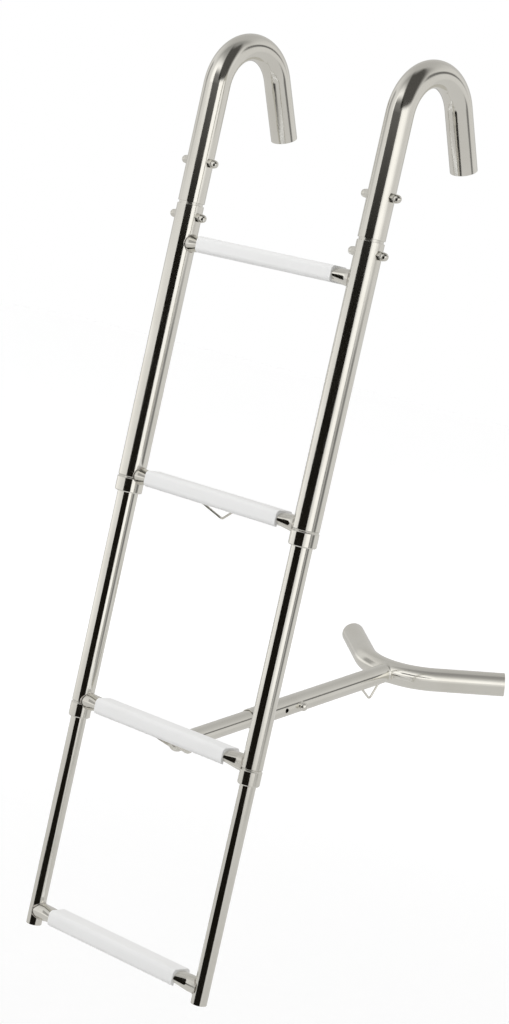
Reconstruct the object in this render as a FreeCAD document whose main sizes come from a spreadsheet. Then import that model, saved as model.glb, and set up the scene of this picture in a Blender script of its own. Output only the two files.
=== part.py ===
"""Telescopic boarding ladder: gunwale hooks, three nested rail sections, four steps
and a hinged stand-off strut with a forked end.

Frame: +X along the steps, +Y towards the hull, +Z up, millimetres.  The origin lies midway
between the two hooks, at the crown of their inner curve, where they sit on the gunwale.
The ladder is drawn fully extended, with the strut swung up to its working angle.
"""
import FreeCAD
import Part
import Sketcher

import os

Vector = FreeCAD.Vector
Rotation = FreeCAD.Rotation
X_AXIS = Vector(1, 0, 0)
Y_AXIS = Vector(0, 1, 0)

# Driving dimensions: name, value, what it is (millimetres and degrees)
DIMENSIONS = [
    ("rail_spacing", 276, "centre to centre of the two rails"),
    ("upper_tube", 32, "outside diameter of the hooks and upper rails"),
    ("middle_tube", 25, "outside diameter of the middle rails"),
    ("lower_tube", 19, "outside diameter of the lower rails"),
    ("rail_wall", 1.5, "wall of every rail tube and hook"),
    ("slide_gap", 0.3, "radial clearance of one sliding tube in its guide"),
    ("seam_gap", 3, "gap between a hook and its rail, where the sleeve shows"),
    ("sleeve_fit", 0.1, "radial clearance of the joint sleeve in the tubes"),
    ("sleeve_wall", 2, "wall of the joint sleeve"),
    ("sleeve_up", 66, "reach of the sleeve into the hook, from the seam"),
    ("sleeve_down", 25, "reach of the sleeve into the rail, from the seam"),
    ("hook_straight", 142, "straight length of the hook above the seam centre"),
    ("hook_bend", 55, "centreline radius of the hook"),
    ("hook_angle", 151, "angle through which the hook is bent"),
    ("hook_leg", 76, "straight leg after the bend"),
    ("bolt_up", 50, "height of the upper joint bolt above the seam"),
    ("bolt_down", 15, "depth of the lower joint bolt below the seam"),
    ("bolt_size", 6, "diameter of the joint bolts and the pivot bolt"),
    ("bolt_fit", 0.2, "radial clearance of a bolt in its hole"),
    ("nut_flats", 10, "width across the flats of a dome nut"),
    ("nut_height", 5, "height of the hexagon of a dome nut"),
    ("dome_size", 9.5, "diameter of the dome of a nut"),
    ("dome_rise", 2.2, "straight length of the dome below its round crown"),
    ("step_drop", 46, "first step below the seam centre"),
    ("rise_upper", 282, "rise between the first and second step"),
    ("rise_middle", 279, "rise between the second and third step"),
    ("rise_lower", 265, "rise between the third and fourth step"),
    ("collar_drop", 2.5, "top of a collar below the axis of its step"),
    ("collar_length", 19.5, "visible length of a collar"),
    ("collar_step", 0.5, "radial step of a collar beyond its rail"),
    ("collar_groove", 1, "height of the groove round the top of a collar"),
    ("guide_length", 30, "reach of the collar's guide up inside the rail"),
    ("swage_length", 38, "length of the widened top end of a sliding rail"),
    ("rail_tail", 18.5, "lower rail below the axis of the fourth step"),
    ("rung_end", 20, "diameter of a rung where it is welded to the rail"),
    ("rung_wide", 27.6, "front to back width of the flattened rung"),
    ("rung_thick", 15.2, "height of the flattened rung"),
    ("rung_lift", 0.9, "centre of the flattened part above the rung's ends"),
    ("rung_wall", 1.5, "wall of the rung tube"),
    ("tread_length", 207, "length of a tread"),
    ("tread_wide", 30, "front to back width of a tread"),
    ("tread_tall", 19.5, "height of a tread"),
    ("tread_cover", 2.3, "thickness of a tread over the top of the rung"),
    ("tread_round", 6, "rounding of the long edges of a tread"),
    ("tread_edge", 1.2, "rounding of the ends of a tread"),
    ("tread_slot", 19, "width of the slot under a tread"),
    ("tread_fit", 0.1, "clearance of a tread on its rung"),
    ("pivot_back", 33, "strut pivot behind the rail plane"),
    ("pivot_drop", 12.5, "strut pivot below the axis of the third step"),
    ("strut_angle", 13.6, "rise of the strut above the horizontal"),
    ("arm_tube", 21, "outside diameter of the inner strut tube"),
    ("arm_tip", 7, "centre of the strut's round tip in front of the pivot"),
    ("arm_length", 300, "inner strut tube beyond the pivot"),
    ("sheath_tube", 24, "outside diameter of the outer strut tube"),
    ("strut_wall", 1.2, "wall of both strut tubes"),
    ("sheath_start", 118, "near end of the outer strut tube from the pivot"),
    ("fork_reach", 391, "crown of the fork's centreline from the pivot"),
    ("fork_tube", 30, "outside diameter of the fork tube"),
    ("fork_bend", 92, "centreline radius of the fork's bend"),
    ("fork_slope", 40, "angle of each fork arm from the crossways line"),
    ("fork_leg", 88, "straight length of each fork arm"),
    ("hole_pitch", 27, "spacing of the adjusting holes along the strut"),
    ("hole_size", 6, "diameter of the adjusting holes"),
    ("lock_place", 203, "lock screw from the pivot"),
    ("lock_boss", 11, "diameter of the threaded boss of the lock screw"),
    ("lock_rise", 3, "height of the boss above the strut tube"),
    ("lug_thick", 3, "thickness of a pivot lug"),
    ("lug_gap", 0.7, "side clearance of the strut between its lugs"),
    ("lug_round", 11, "radius of a lug round the pivot"),
    ("wire_size", 2.5, "thickness of the wire loops"),
    ("wire_bend", 4, "centreline radius at the point of a wire loop"),
    ("wire_sink", 2.5, "reach of a loop's legs towards the inside of its carrier, cut away"),
    ("step_wire_slope", 36.5, "angle of the legs of the step's loop from the rung"),
    ("step_wire_tilt", 44, "lean of the step's loop towards the hull"),
    ("step_wire_leg", 38.5, "leg of the loop under the second step"),
    ("strut_wire_slope", 46, "angle of the legs of the strut's loop from the strut"),
    ("strut_wire_leg", 23.5, "leg of the loop under the strut"),
    ("strut_wire_back", 38, "loop under the strut before the fork's crown"),
]

doc = FreeCAD.newDocument("TelescopicLadder")
sheet = doc.addObject("Spreadsheet::Sheet", "Dims")
for row, (alias, value, meaning) in enumerate(DIMENSIONS, start=1):
    sheet.set(f"A{row}", str(value))
    sheet.setAlias(f"A{row}", alias)
    sheet.set(f"B{row}", meaning)
doc.recompute()

# Levels and lengths that several sub-parts share, worked out from the sheet
RAIL_X = "Dims.rail_spacing / 2"
RAIL_Y = "-Dims.hook_bend"
SEAM_Z = "(Dims.upper_tube / 2 - Dims.hook_bend - Dims.hook_straight)"
STEP_Z = [f"({SEAM_Z} - Dims.step_drop)"]
STEP_Z.append(f"({STEP_Z[0]} - Dims.rise_upper)")
STEP_Z.append(f"({STEP_Z[1]} - Dims.rise_middle)")
STEP_Z.append(f"({STEP_Z[2]} - Dims.rise_lower)")
UPPER_END_Z = f"({STEP_Z[1]} - Dims.collar_drop)"
MIDDLE_END_Z = f"({STEP_Z[2]} - Dims.collar_drop)"
LOWER_END_Z = f"({STEP_Z[3]} - Dims.rail_tail)"
UPPER_BORE = "(Dims.upper_tube - 2 * Dims.rail_wall)"
MIDDLE_BORE = "(Dims.middle_tube - 2 * Dims.rail_wall)"
PIVOT_Y = f"({RAIL_Y} + Dims.pivot_back)"
PIVOT_Z = f"({STEP_Z[2]} - Dims.pivot_drop)"
STRUT_TILT = "Dims.strut_angle - 90"

SIDES = {"left": -1, "right": 1}
PARTS = []


def amount(expression):
    """Return the present value of an expression in the sheet's names."""
    return float(sheet.evalExpression(expression.replace("Dims.", "")))


def bind(obj, **expressions):
    """Bind an object's properties to expressions of the sheet."""
    for path, expression in expressions.items():
        obj.setExpression(path.replace("__", "."), str(expression))


def place(obj, x="0", y="0", z="0", axis=None, angle=None):
    """Put an object at a place given by expressions, turned about one axis."""
    if axis is not None:
        obj.Placement = FreeCAD.Placement(Vector(), Rotation(axis, amount(str(angle))))
        bind(obj, Placement__Rotation__Angle=angle)
    bind(obj, Placement__Base__x=x, Placement__Base__y=y, Placement__Base__z=z)
    return obj


def finish(obj, name):
    """Give a sub-part its name and count it among the parts that are written."""
    obj.Label = name
    PARTS.append(obj)
    return obj


def plane(body, role):
    """Return an origin plane of a body by its role."""
    return next(item for item in body.Origin.OriginFeatures if item.Role == role)


def new_sketch(body, name, role, height=None):
    """Attach an empty sketch to one of the body's own origin planes."""
    sketch = body.newObject("Sketcher::SketchObject", name)
    sketch.AttachmentSupport = [(plane(body, role), "")]
    sketch.MapMode = "FlatFace"
    if height is not None:
        sketch.setExpression("AttachmentOffset.Base.z", height)
    return sketch


def hold(sketch, kind, *where, name, expression):
    """Add a named dimension to a sketch and bind it to the sheet."""
    index = sketch.addConstraint(Sketcher.Constraint(kind, *where, amount(expression)))
    sketch.renameConstraint(index, name)
    sketch.setExpression(f"Constraints.{name}", expression)


def add_circle(sketch, radius, name, x="0", y="0"):
    """Draw a circle whose centre and radius come from the sheet."""
    centre = Vector(amount(x), amount(y), 0)
    circle = sketch.addGeometry(Part.Circle(centre, Vector(0, 0, 1), amount(radius)))
    if (x, y) == ("0", "0"):
        sketch.addConstraint(Sketcher.Constraint("Coincident", circle, 3, -1, 1))
    else:
        hold(sketch, "DistanceX", -1, 1, circle, 3, name=f"{name}_x", expression=x)
        hold(sketch, "DistanceY", -1, 1, circle, 3, name=f"{name}_y", expression=y)
    hold(sketch, "Radius", circle, name=f"{name}_radius", expression=radius)


def add_outline(sketch, corners):
    """Draw a closed outline through corners given as pairs of expressions."""
    points = [Vector(amount(x), amount(y), 0) for x, y in corners]
    count = len(points)
    lines = [sketch.addGeometry(Part.LineSegment(points[i], points[(i + 1) % count]))
             for i in range(count)]
    for i, line in enumerate(lines):
        sketch.addConstraint(Sketcher.Constraint("Coincident", line, 2, lines[(i + 1) % count], 1))
    for i, (x, y) in enumerate(corners):
        hold(sketch, "DistanceX", -1, 1, lines[i], 1, name=f"x{i}", expression=x)
        hold(sketch, "DistanceY", -1, 1, lines[i], 1, name=f"y{i}", expression=y)


def new_body(name):
    """Start a body for a sub-part."""
    return doc.addObject("PartDesign::Body", f"{name}_body")


def pad(body, sketch, length, midplane=False):
    """Extrude a sketch, to both sides of its plane where asked."""
    feature = body.newObject("PartDesign::Pad", "Pad")
    feature.Profile = sketch
    feature.Length = amount(length)
    bind(feature, Length=length)
    if midplane:
        feature.SideType = "Symmetric"
    return feature


def revolve(body, sketch):
    """Turn a profile right round the upright axis of its sketch."""
    feature = body.newObject("PartDesign::Revolution", "Revolution")
    feature.Profile = sketch
    feature.ReferenceAxis = (sketch, ["V_Axis"])
    feature.Angle = 360
    return feature


def cross_holes(body, heights, size, name):
    """Drill round holes along X, right through the body, at heights along its Z axis."""
    sketch = new_sketch(body, f"{name}_sketch", "YZ_Plane")
    for i, height in enumerate(heights):
        add_circle(sketch, f"{size} / 2", f"{name}{i}", x="0.0", y=height)
    feature = body.newObject("PartDesign::Pocket", f"{name}_pocket")
    feature.Profile = sketch
    feature.Type = "ThroughAll"
    feature.SideType = "Symmetric"
    return feature


def tube_body(name, outer, inner, bottom, top, holes=()):
    """Make a straight tube along Z, drilled crossways for bolts."""
    body = new_body(name)
    sketch = new_sketch(body, f"{name}_ring", "XY_Plane", bottom)
    add_circle(sketch, f"{outer} / 2", "outer")
    add_circle(sketch, f"{inner} / 2", "inner")
    pad(body, sketch, f"{top} - ({bottom})")
    if holes:
        cross_holes(body, holes, "(Dims.bolt_size + 2 * Dims.bolt_fit)", "bolt")
    return body


def hook(side):
    """Bend a hook: straight stem, round crown and a leg that opens away from the stem."""
    name = f"hook_{side}"
    body = new_body(name)
    ring = new_sketch(body, f"{name}_ring", "XY_Plane")
    add_circle(ring, "Dims.upper_tube / 2", "outer")
    add_circle(ring, f"{UPPER_BORE} / 2", "inner")
    path = new_sketch(body, f"{name}_path", "YZ_Plane")
    stem_top = "Dims.hook_straight - Dims.seam_gap / 2"
    bend = amount("Dims.hook_bend")
    rise = amount(stem_top)
    turn = FreeCAD.Units.Quantity(f"{180 - amount('Dims.hook_angle')} deg").getValueAs("rad").Value
    centre = Vector(bend, rise, 0)
    arc = Part.ArcOfCircle(Part.Circle(centre, Vector(0, 0, 1), bend), turn, 3.141592653589793)
    leg_start = arc.StartPoint
    leg_way = Vector(leg_start.y - rise, bend - leg_start.x, 0).normalize()
    stem_id = path.addGeometry(Part.LineSegment(Vector(0, 0, 0), Vector(0, rise, 0)))
    arc_id = path.addGeometry(arc)
    leg_end = leg_start + leg_way * amount("Dims.hook_leg")
    leg_id = path.addGeometry(Part.LineSegment(leg_start, leg_end))
    path.addConstraint(Sketcher.Constraint("Coincident", stem_id, 1, -1, 1))
    path.addConstraint(Sketcher.Constraint("Vertical", stem_id))
    hold(path, "DistanceY", stem_id, 1, stem_id, 2, name="stem", expression=stem_top)
    path.addConstraint(Sketcher.Constraint("Tangent", stem_id, 2, arc_id, 2))
    hold(path, "Radius", arc_id, name="bend", expression="Dims.hook_bend")
    path.addConstraint(Sketcher.Constraint("Tangent", arc_id, 1, leg_id, 1))
    hold(path, "Distance", leg_id, name="leg", expression="Dims.hook_leg")
    hold(path, "DistanceX", leg_id, 1, leg_id, 2, name="leg_out",
         expression="Dims.hook_leg * sin(Dims.hook_angle)")
    pipe = body.newObject("PartDesign::AdditivePipe", f"{name}_pipe")
    pipe.Profile = ring
    pipe.Spine = path
    doc.recompute()
    cross_holes(body, ["Dims.bolt_up - Dims.seam_gap / 2"],
                "(Dims.bolt_size + 2 * Dims.bolt_fit)", "bolt")
    place(body, f"{SIDES[side]} * {RAIL_X}", RAIL_Y, f"{SEAM_Z} + Dims.seam_gap / 2")
    return finish(body, name)


def joint_sleeve(side):
    """Join a hook to its rail with a sleeve inside both tubes."""
    name = f"joint_sleeve_{side}"
    outer = f"({UPPER_BORE} - 2 * Dims.sleeve_fit)"
    body = tube_body(name, outer, f"({outer} - 2 * Dims.sleeve_wall)",
                     "-Dims.sleeve_down", "Dims.sleeve_up",
                     holes=["Dims.bolt_up", "-Dims.bolt_down"])
    place(body, f"{SIDES[side]} * {RAIL_X}", RAIL_Y, SEAM_Z)
    return finish(body, name)


def upper_rail(side):
    """Make an upper rail, from the seam down to its collar."""
    name = f"upper_rail_{side}"
    body = tube_body(name, "Dims.upper_tube", UPPER_BORE,
                     f"{UPPER_END_Z} - {SEAM_Z}", "-Dims.seam_gap / 2",
                     holes=["-Dims.bolt_down"])
    place(body, f"{SIDES[side]} * {RAIL_X}", RAIL_Y, SEAM_Z)
    return finish(body, name)


def sliding_rail(name, side, outer, guide_bore, top, swage_top, end):
    """Make a rail that slides in the one above: its top end is widened, as its stop."""
    body = new_body(name)
    sketch = new_sketch(body, f"{name}_profile", "XZ_Plane")
    radius = f"{outer} / 2"
    bore = f"({outer} / 2 - Dims.rail_wall)"
    wide = f"({guide_bore} / 2 - Dims.slide_gap)"
    wide_bore = f"({wide} - Dims.rail_wall)"
    neck = f"({swage_top} - Dims.swage_length)"
    add_outline(sketch, [
        (bore, end), (radius, end), (radius, f"{neck} - Dims.rail_wall"), (wide, neck),
        (wide, swage_top), (wide_bore, swage_top), (wide_bore, neck),
        (bore, f"{neck} - Dims.rail_wall")])
    revolve(body, sketch)
    place(body, f"{SIDES[side]} * {RAIL_X}", RAIL_Y, top)
    return finish(body, name)


def collar(name, side, rail, bore, inner_rail, end_z):
    """Make the collar under a rail: a ring, with a guide that reaches up inside the rail."""
    body = new_body(name)
    sketch = new_sketch(body, f"{name}_profile", "XZ_Plane")
    inside = f"({inner_rail} / 2 + Dims.slide_gap)"
    guide = f"({bore} / 2 - Dims.sleeve_fit)"
    outside = f"({rail} / 2 + Dims.collar_step)"
    add_outline(sketch, [
        (inside, "-Dims.collar_length"), (outside, "-Dims.collar_length"),
        (outside, "-Dims.collar_groove"), (f"{rail} / 2", "0.0"), (guide, "0.0"),
        (guide, "Dims.guide_length"), (inside, "Dims.guide_length")])
    revolve(body, sketch)
    place(body, f"{SIDES[side]} * {RAIL_X}", RAIL_Y, end_z)
    return finish(body, name)


def ellipse(name, wide, tall, x, lift):
    """Draw an ellipse across the X axis, wide front to back."""
    curve = doc.addObject("Part::Ellipse", name)
    bind(curve, MajorRadius=f"{wide} / 2", MinorRadius=f"{tall} / 2")
    frame = Rotation(Vector(0, 1, 0), Vector(0, 0, 1), Vector(1, 0, 0), "XYZ")
    curve.Placement = FreeCAD.Placement(Vector(), frame)
    bind(curve, Placement__Base__x=x, Placement__Base__z=lift)
    return curve


def rung_solid(name, inset):
    """Loft a rung, round at its ends and flattened between, shrunk by the inset."""
    flat_x = "(Dims.tread_length / 2 - 3)"
    end = (f"(Dims.rung_end - 2 * {inset})", f"(Dims.rung_end - 2 * {inset})")
    flat = (f"(Dims.rung_wide - 2 * {inset})", f"(Dims.rung_thick - 2 * {inset})")
    sections = [
        ellipse(f"{name}_a", *end, f"-{RAIL_X}", "0"),
        ellipse(f"{name}_b", *end, f"-{RAIL_X} + 17", "0"),
        ellipse(f"{name}_c", *flat, f"-{flat_x}", "Dims.rung_lift"),
        ellipse(f"{name}_d", *flat, flat_x, "Dims.rung_lift"),
        ellipse(f"{name}_e", *end, f"{RAIL_X} - 17", "0"),
        ellipse(f"{name}_f", *end, RAIL_X, "0"),
    ]
    loft = doc.addObject("Part::Loft", f"{name}_loft")
    loft.Sections = sections
    loft.Solid = True
    loft.Ruled = True
    return loft


def rung_flat(name, half):
    """Make the outer form of a rung's flat part, over a length about its middle."""
    bar = doc.addObject("Part::Extrusion", name)
    bar.Base = ellipse(f"{name}_curve", "Dims.rung_wide", "Dims.rung_thick", f"-{half}",
                       "Dims.rung_lift")
    bar.DirMode = "Custom"
    bar.Dir = X_AXIS
    bar.Solid = True
    bind(bar, LengthFwd=f"2 * {half}")
    return bar


def cylinder(name, size, length, x="0", y="0", z="0", axis=None, angle=None):
    """Make a cylinder of a given diameter; upright unless turned."""
    solid = doc.addObject("Part::Cylinder", name)
    bind(solid, Radius=f"{size} / 2", Height=length)
    return place(solid, x, y, z, axis, angle)


def cut(name, base, tools):
    """Cut tools out of a base, one after the other."""
    for i, tool in enumerate(tools):
        step = doc.addObject("Part::Cut", f"{name}_cut{i}")
        step.Base = base
        step.Tool = tool
        base = step
    return base


def fuse(name, solids):
    """Join solids into one."""
    joined = doc.addObject("Part::MultiFuse", f"{name}_fuse")
    joined.Shapes = solids
    joined.Refine = True
    return joined


def rung(number, rail, collared):
    """Make a rung tube whose ends fit round the rails and, where there is one, the collar."""
    name = f"rung_{number}"
    tools = [rung_solid(f"{name}_inside", "Dims.rung_wall")]
    for side, sign in SIDES.items():
        tools.append(cylinder(f"{name}_saddle_{side}", rail, "4 * Dims.rung_end",
                              f"{sign} * {RAIL_X}", "0", "-2 * Dims.rung_end"))
        if collared:
            tools.append(cylinder(f"{name}_seat_{side}", f"({rail} + 2 * Dims.collar_step)",
                                  "2 * Dims.rung_end", f"{sign} * {RAIL_X}", "0",
                                  "-Dims.collar_drop - 2 * Dims.rung_end"))
    solid = cut(name, rung_solid(name, "0"), tools)
    place(solid, "0", RAIL_Y, STEP_Z[number - 1])
    return finish(solid, name)


def tread(number):
    """Make a tread: a moulded cover over the flat of a rung, slotted underneath."""
    name = f"tread_{number}"
    body = new_body(name)
    top = "(Dims.rung_lift + Dims.rung_thick / 2 + Dims.tread_cover)"
    low = f"({top} - Dims.tread_tall)"
    sketch = new_sketch(body, f"{name}_section", "YZ_Plane")
    half = "Dims.tread_wide / 2"
    add_outline(sketch, [(f"-{half}", low), (half, low), (half, top), (f"-{half}", top)])
    blank = pad(body, sketch, "Dims.tread_length", midplane=True)
    doc.recompute()
    long_edges = [f"Edge{i}" for i, edge in enumerate(blank.Shape.Edges, start=1)
                  if abs(edge.tangentAt(edge.FirstParameter).x) > 0.9]
    rounded = body.newObject("PartDesign::Fillet", f"{name}_long")
    rounded.Base = (blank, long_edges)
    bind(rounded, Radius="Dims.tread_round")
    doc.recompute()
    end_edges = [f"Edge{i}" for i, edge in enumerate(rounded.Shape.Edges, start=1)
                 if edge.BoundBox.XLength < 1e-6]
    softened = body.newObject("PartDesign::Fillet", f"{name}_ends")
    softened.Base = (rounded, end_edges)
    bind(softened, Radius="Dims.tread_edge")
    cavity = doc.addObject("Part::Extrusion", f"{name}_cavity")
    cavity.Base = ellipse(f"{name}_hollow", "(Dims.rung_wide + 2 * Dims.tread_fit)",
                          "(Dims.rung_thick + 2 * Dims.tread_fit)",
                          "-Dims.tread_length", "Dims.rung_lift")
    cavity.DirMode = "Custom"
    cavity.Dir = X_AXIS
    cavity.Solid = True
    bind(cavity, LengthFwd="2 * Dims.tread_length")
    slot = doc.addObject("Part::Box", f"{name}_slot")
    bind(slot, Length="2 * Dims.tread_length", Width="Dims.tread_slot", Height="Dims.tread_tall")
    place(slot, "-Dims.tread_length", "-Dims.tread_slot / 2",
          "Dims.rung_lift - Dims.tread_tall")
    solid = cut(name, body, [cavity, slot])
    place(solid, "0", RAIL_Y, STEP_Z[number - 1])
    return finish(solid, name)


def dome_nut(name, seat, way, y, z):
    """Make a dome nut on a bolt along X, seated at a distance from the middle plane."""
    hexagon = doc.addObject("Part::Prism", f"{name}_hexagon")
    hexagon.Polygon = 6
    bind(hexagon, Circumradius="Dims.nut_flats / 2 / cos(30)", Height="Dims.nut_height")
    shoulder = cylinder(f"{name}_shoulder", "Dims.dome_size", "Dims.nut_height + Dims.dome_rise")
    crown = doc.addObject("Part::Sphere", f"{name}_crown")
    bind(crown, Radius="Dims.dome_size / 2")
    place(crown, z="Dims.nut_height + Dims.dome_rise")
    thread = cylinder(f"{name}_thread", "Dims.bolt_size", "Dims.nut_height + Dims.dome_rise")
    nut = cut(name, fuse(name, [hexagon, shoulder, crown]), [thread])
    return place(nut, seat, y, z, Y_AXIS, f"{90 * way}")


def group(name, solids):
    """Keep like pieces that don't touch in one node."""
    compound = doc.addObject("Part::Compound", f"{name}_group")
    compound.Links = solids
    return finish(compound, name)


def joint_bolts(side):
    """Make the two studs of a hook joint and the dome nuts on both their ends."""
    levels = {"upper": f"{SEAM_Z} + Dims.bolt_up", "lower": f"{SEAM_Z} - Dims.bolt_down"}
    middle = f"{SIDES[side]} * {RAIL_X}"
    reach = "(Dims.upper_tube / 2 + Dims.nut_height + Dims.dome_rise)"
    studs = []
    nuts = []
    for level, z in levels.items():
        studs.append(cylinder(f"stud_{side}_{level}", "Dims.bolt_size", f"2 * {reach}",
                              f"{middle} - {reach}", RAIL_Y, z, Y_AXIS, "90"))
        for face, way in (("near", 1), ("far", -1)):
            seat = f"{middle} + {way} * Dims.upper_tube / 2"
            nuts.append(dome_nut(f"nut_{side}_{level}_{face}", seat, way, RAIL_Y, z))
    group(f"joint_studs_{side}", studs)
    group(f"joint_nuts_{side}", nuts)


def bent_vee(name, size, wall, bend, slope, leg, path_plane, ring_plane, way):
    """Bend a tube or wire to a V, as half a V mirrored at the middle of its bend."""
    body = new_body(name)
    ring = new_sketch(body, f"{name}_ring", ring_plane)
    add_circle(ring, f"{size} / 2", "outer")
    if wall:
        add_circle(ring, f"{size} / 2 - {wall}", "inner")
    path = new_sketch(body, f"{name}_path", path_plane)
    radius = amount(bend)
    degrees = amount(slope)
    flip = way == "down"
    across = path_plane == "YZ_Plane"
    half_turn = 1.5707963267948966
    sweep = half_turn * degrees / 90
    if across:
        centre = Vector(-radius, 0, 0)
        first, last = (0, sweep)
    else:
        centre = Vector(0, radius, 0)
        first, last = (-half_turn, sweep - half_turn)
    arc = Part.ArcOfCircle(Part.Circle(centre, Vector(0, 0, 1), radius), first, last)
    arc_id = path.addGeometry(arc)
    outward = (arc.EndPoint - centre).normalize()
    heading = Vector(-outward.y, outward.x, 0)
    leg_end = arc.EndPoint + heading * amount(leg)
    leg_id = path.addGeometry(Part.LineSegment(arc.EndPoint, leg_end))
    path.addConstraint(Sketcher.Constraint("Coincident", arc_id, 1, -1, 1))
    path.addConstraint(Sketcher.Constraint("PointOnObject", arc_id, 3, -1 if across else -2))
    hold(path, "Radius", arc_id, name="bend", expression=bend)
    path.addConstraint(Sketcher.Constraint("Tangent", arc_id, 2, leg_id, 1))
    hold(path, "Distance", leg_id, name="leg", expression=leg)
    if across:
        hold(path, "DistanceY", leg_id, 1, leg_id, 2, name="leg_way",
             expression=f"{leg} * cos({slope})")
    else:
        hold(path, "DistanceX", leg_id, 1, leg_id, 2, name="leg_way",
             expression=f"{leg} * cos({slope})")
    pipe = body.newObject("PartDesign::AdditivePipe", f"{name}_pipe")
    pipe.Profile = ring
    pipe.Spine = path
    doc.recompute()
    mirrored = body.newObject("PartDesign::Mirrored", f"{name}_mirrored")
    mirrored.Originals = [pipe]
    mirrored.MirrorPlane = (plane(body, ring_plane), [""])
    body.Tip = mirrored
    return body


def strut_place(obj, along="0", below="0"):
    """Place a piece of the strut; its Z axis runs along the strut, its Y axis below it."""
    y = f"{PIVOT_Y} + ({along}) * cos(Dims.strut_angle) + ({below}) * sin(Dims.strut_angle)"
    z = f"{PIVOT_Z} + ({along}) * sin(Dims.strut_angle) - ({below}) * cos(Dims.strut_angle)"
    return place(obj, "0", y, z, X_AXIS, STRUT_TILT)


def strut_arm():
    """Make the inner strut tube, closed to a round tip in front of the pivot."""
    def capsule(name, size):
        """Make a solid bar with a round tip."""
        bar = cylinder(f"{name}_bar", size, "Dims.arm_length + Dims.arm_tip", z="-Dims.arm_tip")
        tip = doc.addObject("Part::Sphere", f"{name}_tip")
        bind(tip, Radius=f"{size} / 2")
        place(tip, z="-Dims.arm_tip")
        return fuse(name, [bar, tip])

    bore = "(Dims.bolt_size + 2 * Dims.bolt_fit)"
    tools = [capsule("arm_inside", "(Dims.arm_tube - 2 * Dims.strut_wall)"),
             cylinder("arm_pivot_hole", bore, "2 * Dims.arm_tube", "-Dims.arm_tube",
                      axis=Y_AXIS, angle="90")]
    for i in range(-1, 3):
        height = f"Dims.lock_place + {i} * Dims.hole_pitch"
        tools.append(cylinder(f"arm_hole_{i + 1}", "Dims.hole_size", "Dims.arm_tube",
                              z=height, axis=Y_AXIS, angle="90"))
    solid = cut("strut_arm", capsule("arm", "Dims.arm_tube"), tools)
    strut_place(solid)
    return finish(solid, "strut_arm")


def strut_sheath():
    """Make the outer strut tube, its far end shaped to the fork it is welded to."""
    bore = "(Dims.sheath_tube - 2 * Dims.strut_wall)"
    body = new_body("strut_sheath")
    sketch = new_sketch(body, "sheath_ring", "XY_Plane", "Dims.sheath_start")
    add_circle(sketch, "Dims.sheath_tube / 2", "outer")
    add_circle(sketch, f"{bore} / 2", "inner")
    pad(body, sketch, "Dims.fork_reach - Dims.sheath_start")
    saddle = bent_vee("sheath_saddle", "Dims.fork_tube", None, "Dims.fork_bend",
                      "Dims.fork_slope", "Dims.fork_leg / 2", "XZ_Plane", "YZ_Plane", "up")
    place(saddle, z="Dims.fork_reach")
    tools = [saddle]
    for name, along in (("lock", "Dims.lock_place"),
                        ("spare", "Dims.lock_place - Dims.hole_pitch")):
        tools.append(cylinder(f"sheath_{name}_hole", "Dims.hole_size", "Dims.sheath_tube",
                              z=along, axis=Y_AXIS, angle="90"))
    solid = cut("strut_sheath", body, tools)
    strut_place(solid)
    return finish(solid, "strut_sheath")


def strut_fork():
    """Bend the fork that rests against the hull, open at both plain cut ends."""
    body = bent_vee("strut_fork", "Dims.fork_tube", "Dims.rail_wall", "Dims.fork_bend",
                    "Dims.fork_slope", "Dims.fork_leg", "XZ_Plane", "YZ_Plane", "up")
    strut_place(body, "Dims.fork_reach")
    return finish(body, "strut_fork")


def strut_lock():
    """Make the lock: a boss on the outer strut tube, with a dome nut on its screw."""
    start = "(Dims.arm_tube / 2 + Dims.slide_gap)"
    seat = "(Dims.sheath_tube / 2 + Dims.lock_rise)"
    boss = cylinder("lock_boss_bar", "Dims.lock_boss", f"{seat}", z="Dims.lock_place",
                    axis=Y_AXIS, angle="90")
    solid = cut("lock_boss", boss, [
        cylinder("lock_boss_seat", "Dims.sheath_tube", "4 * Dims.sheath_tube",
                 z="Dims.lock_place - 2 * Dims.sheath_tube"),
        cylinder("lock_boss_hole", "Dims.hole_size", "2 * Dims.sheath_tube",
                 z="Dims.lock_place", axis=Y_AXIS, angle="90")])
    strut_place(solid)
    finish(solid, "lock_boss")
    head = doc.addObject("Part::Sphere", "lock_head")
    bind(head, Radius="Dims.lock_boss / 2", Angle1="0")
    place(head, seat, "0", "Dims.lock_place", Y_AXIS, "90")
    shank = cylinder("lock_shank", "(Dims.hole_size - 0.2)", f"{seat} - {start}", start, "0",
                     "Dims.lock_place", Y_AXIS, "90")
    screw = fuse("lock_screw", [head, shank])
    strut_place(screw)
    finish(screw, "lock_screw")


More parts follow.
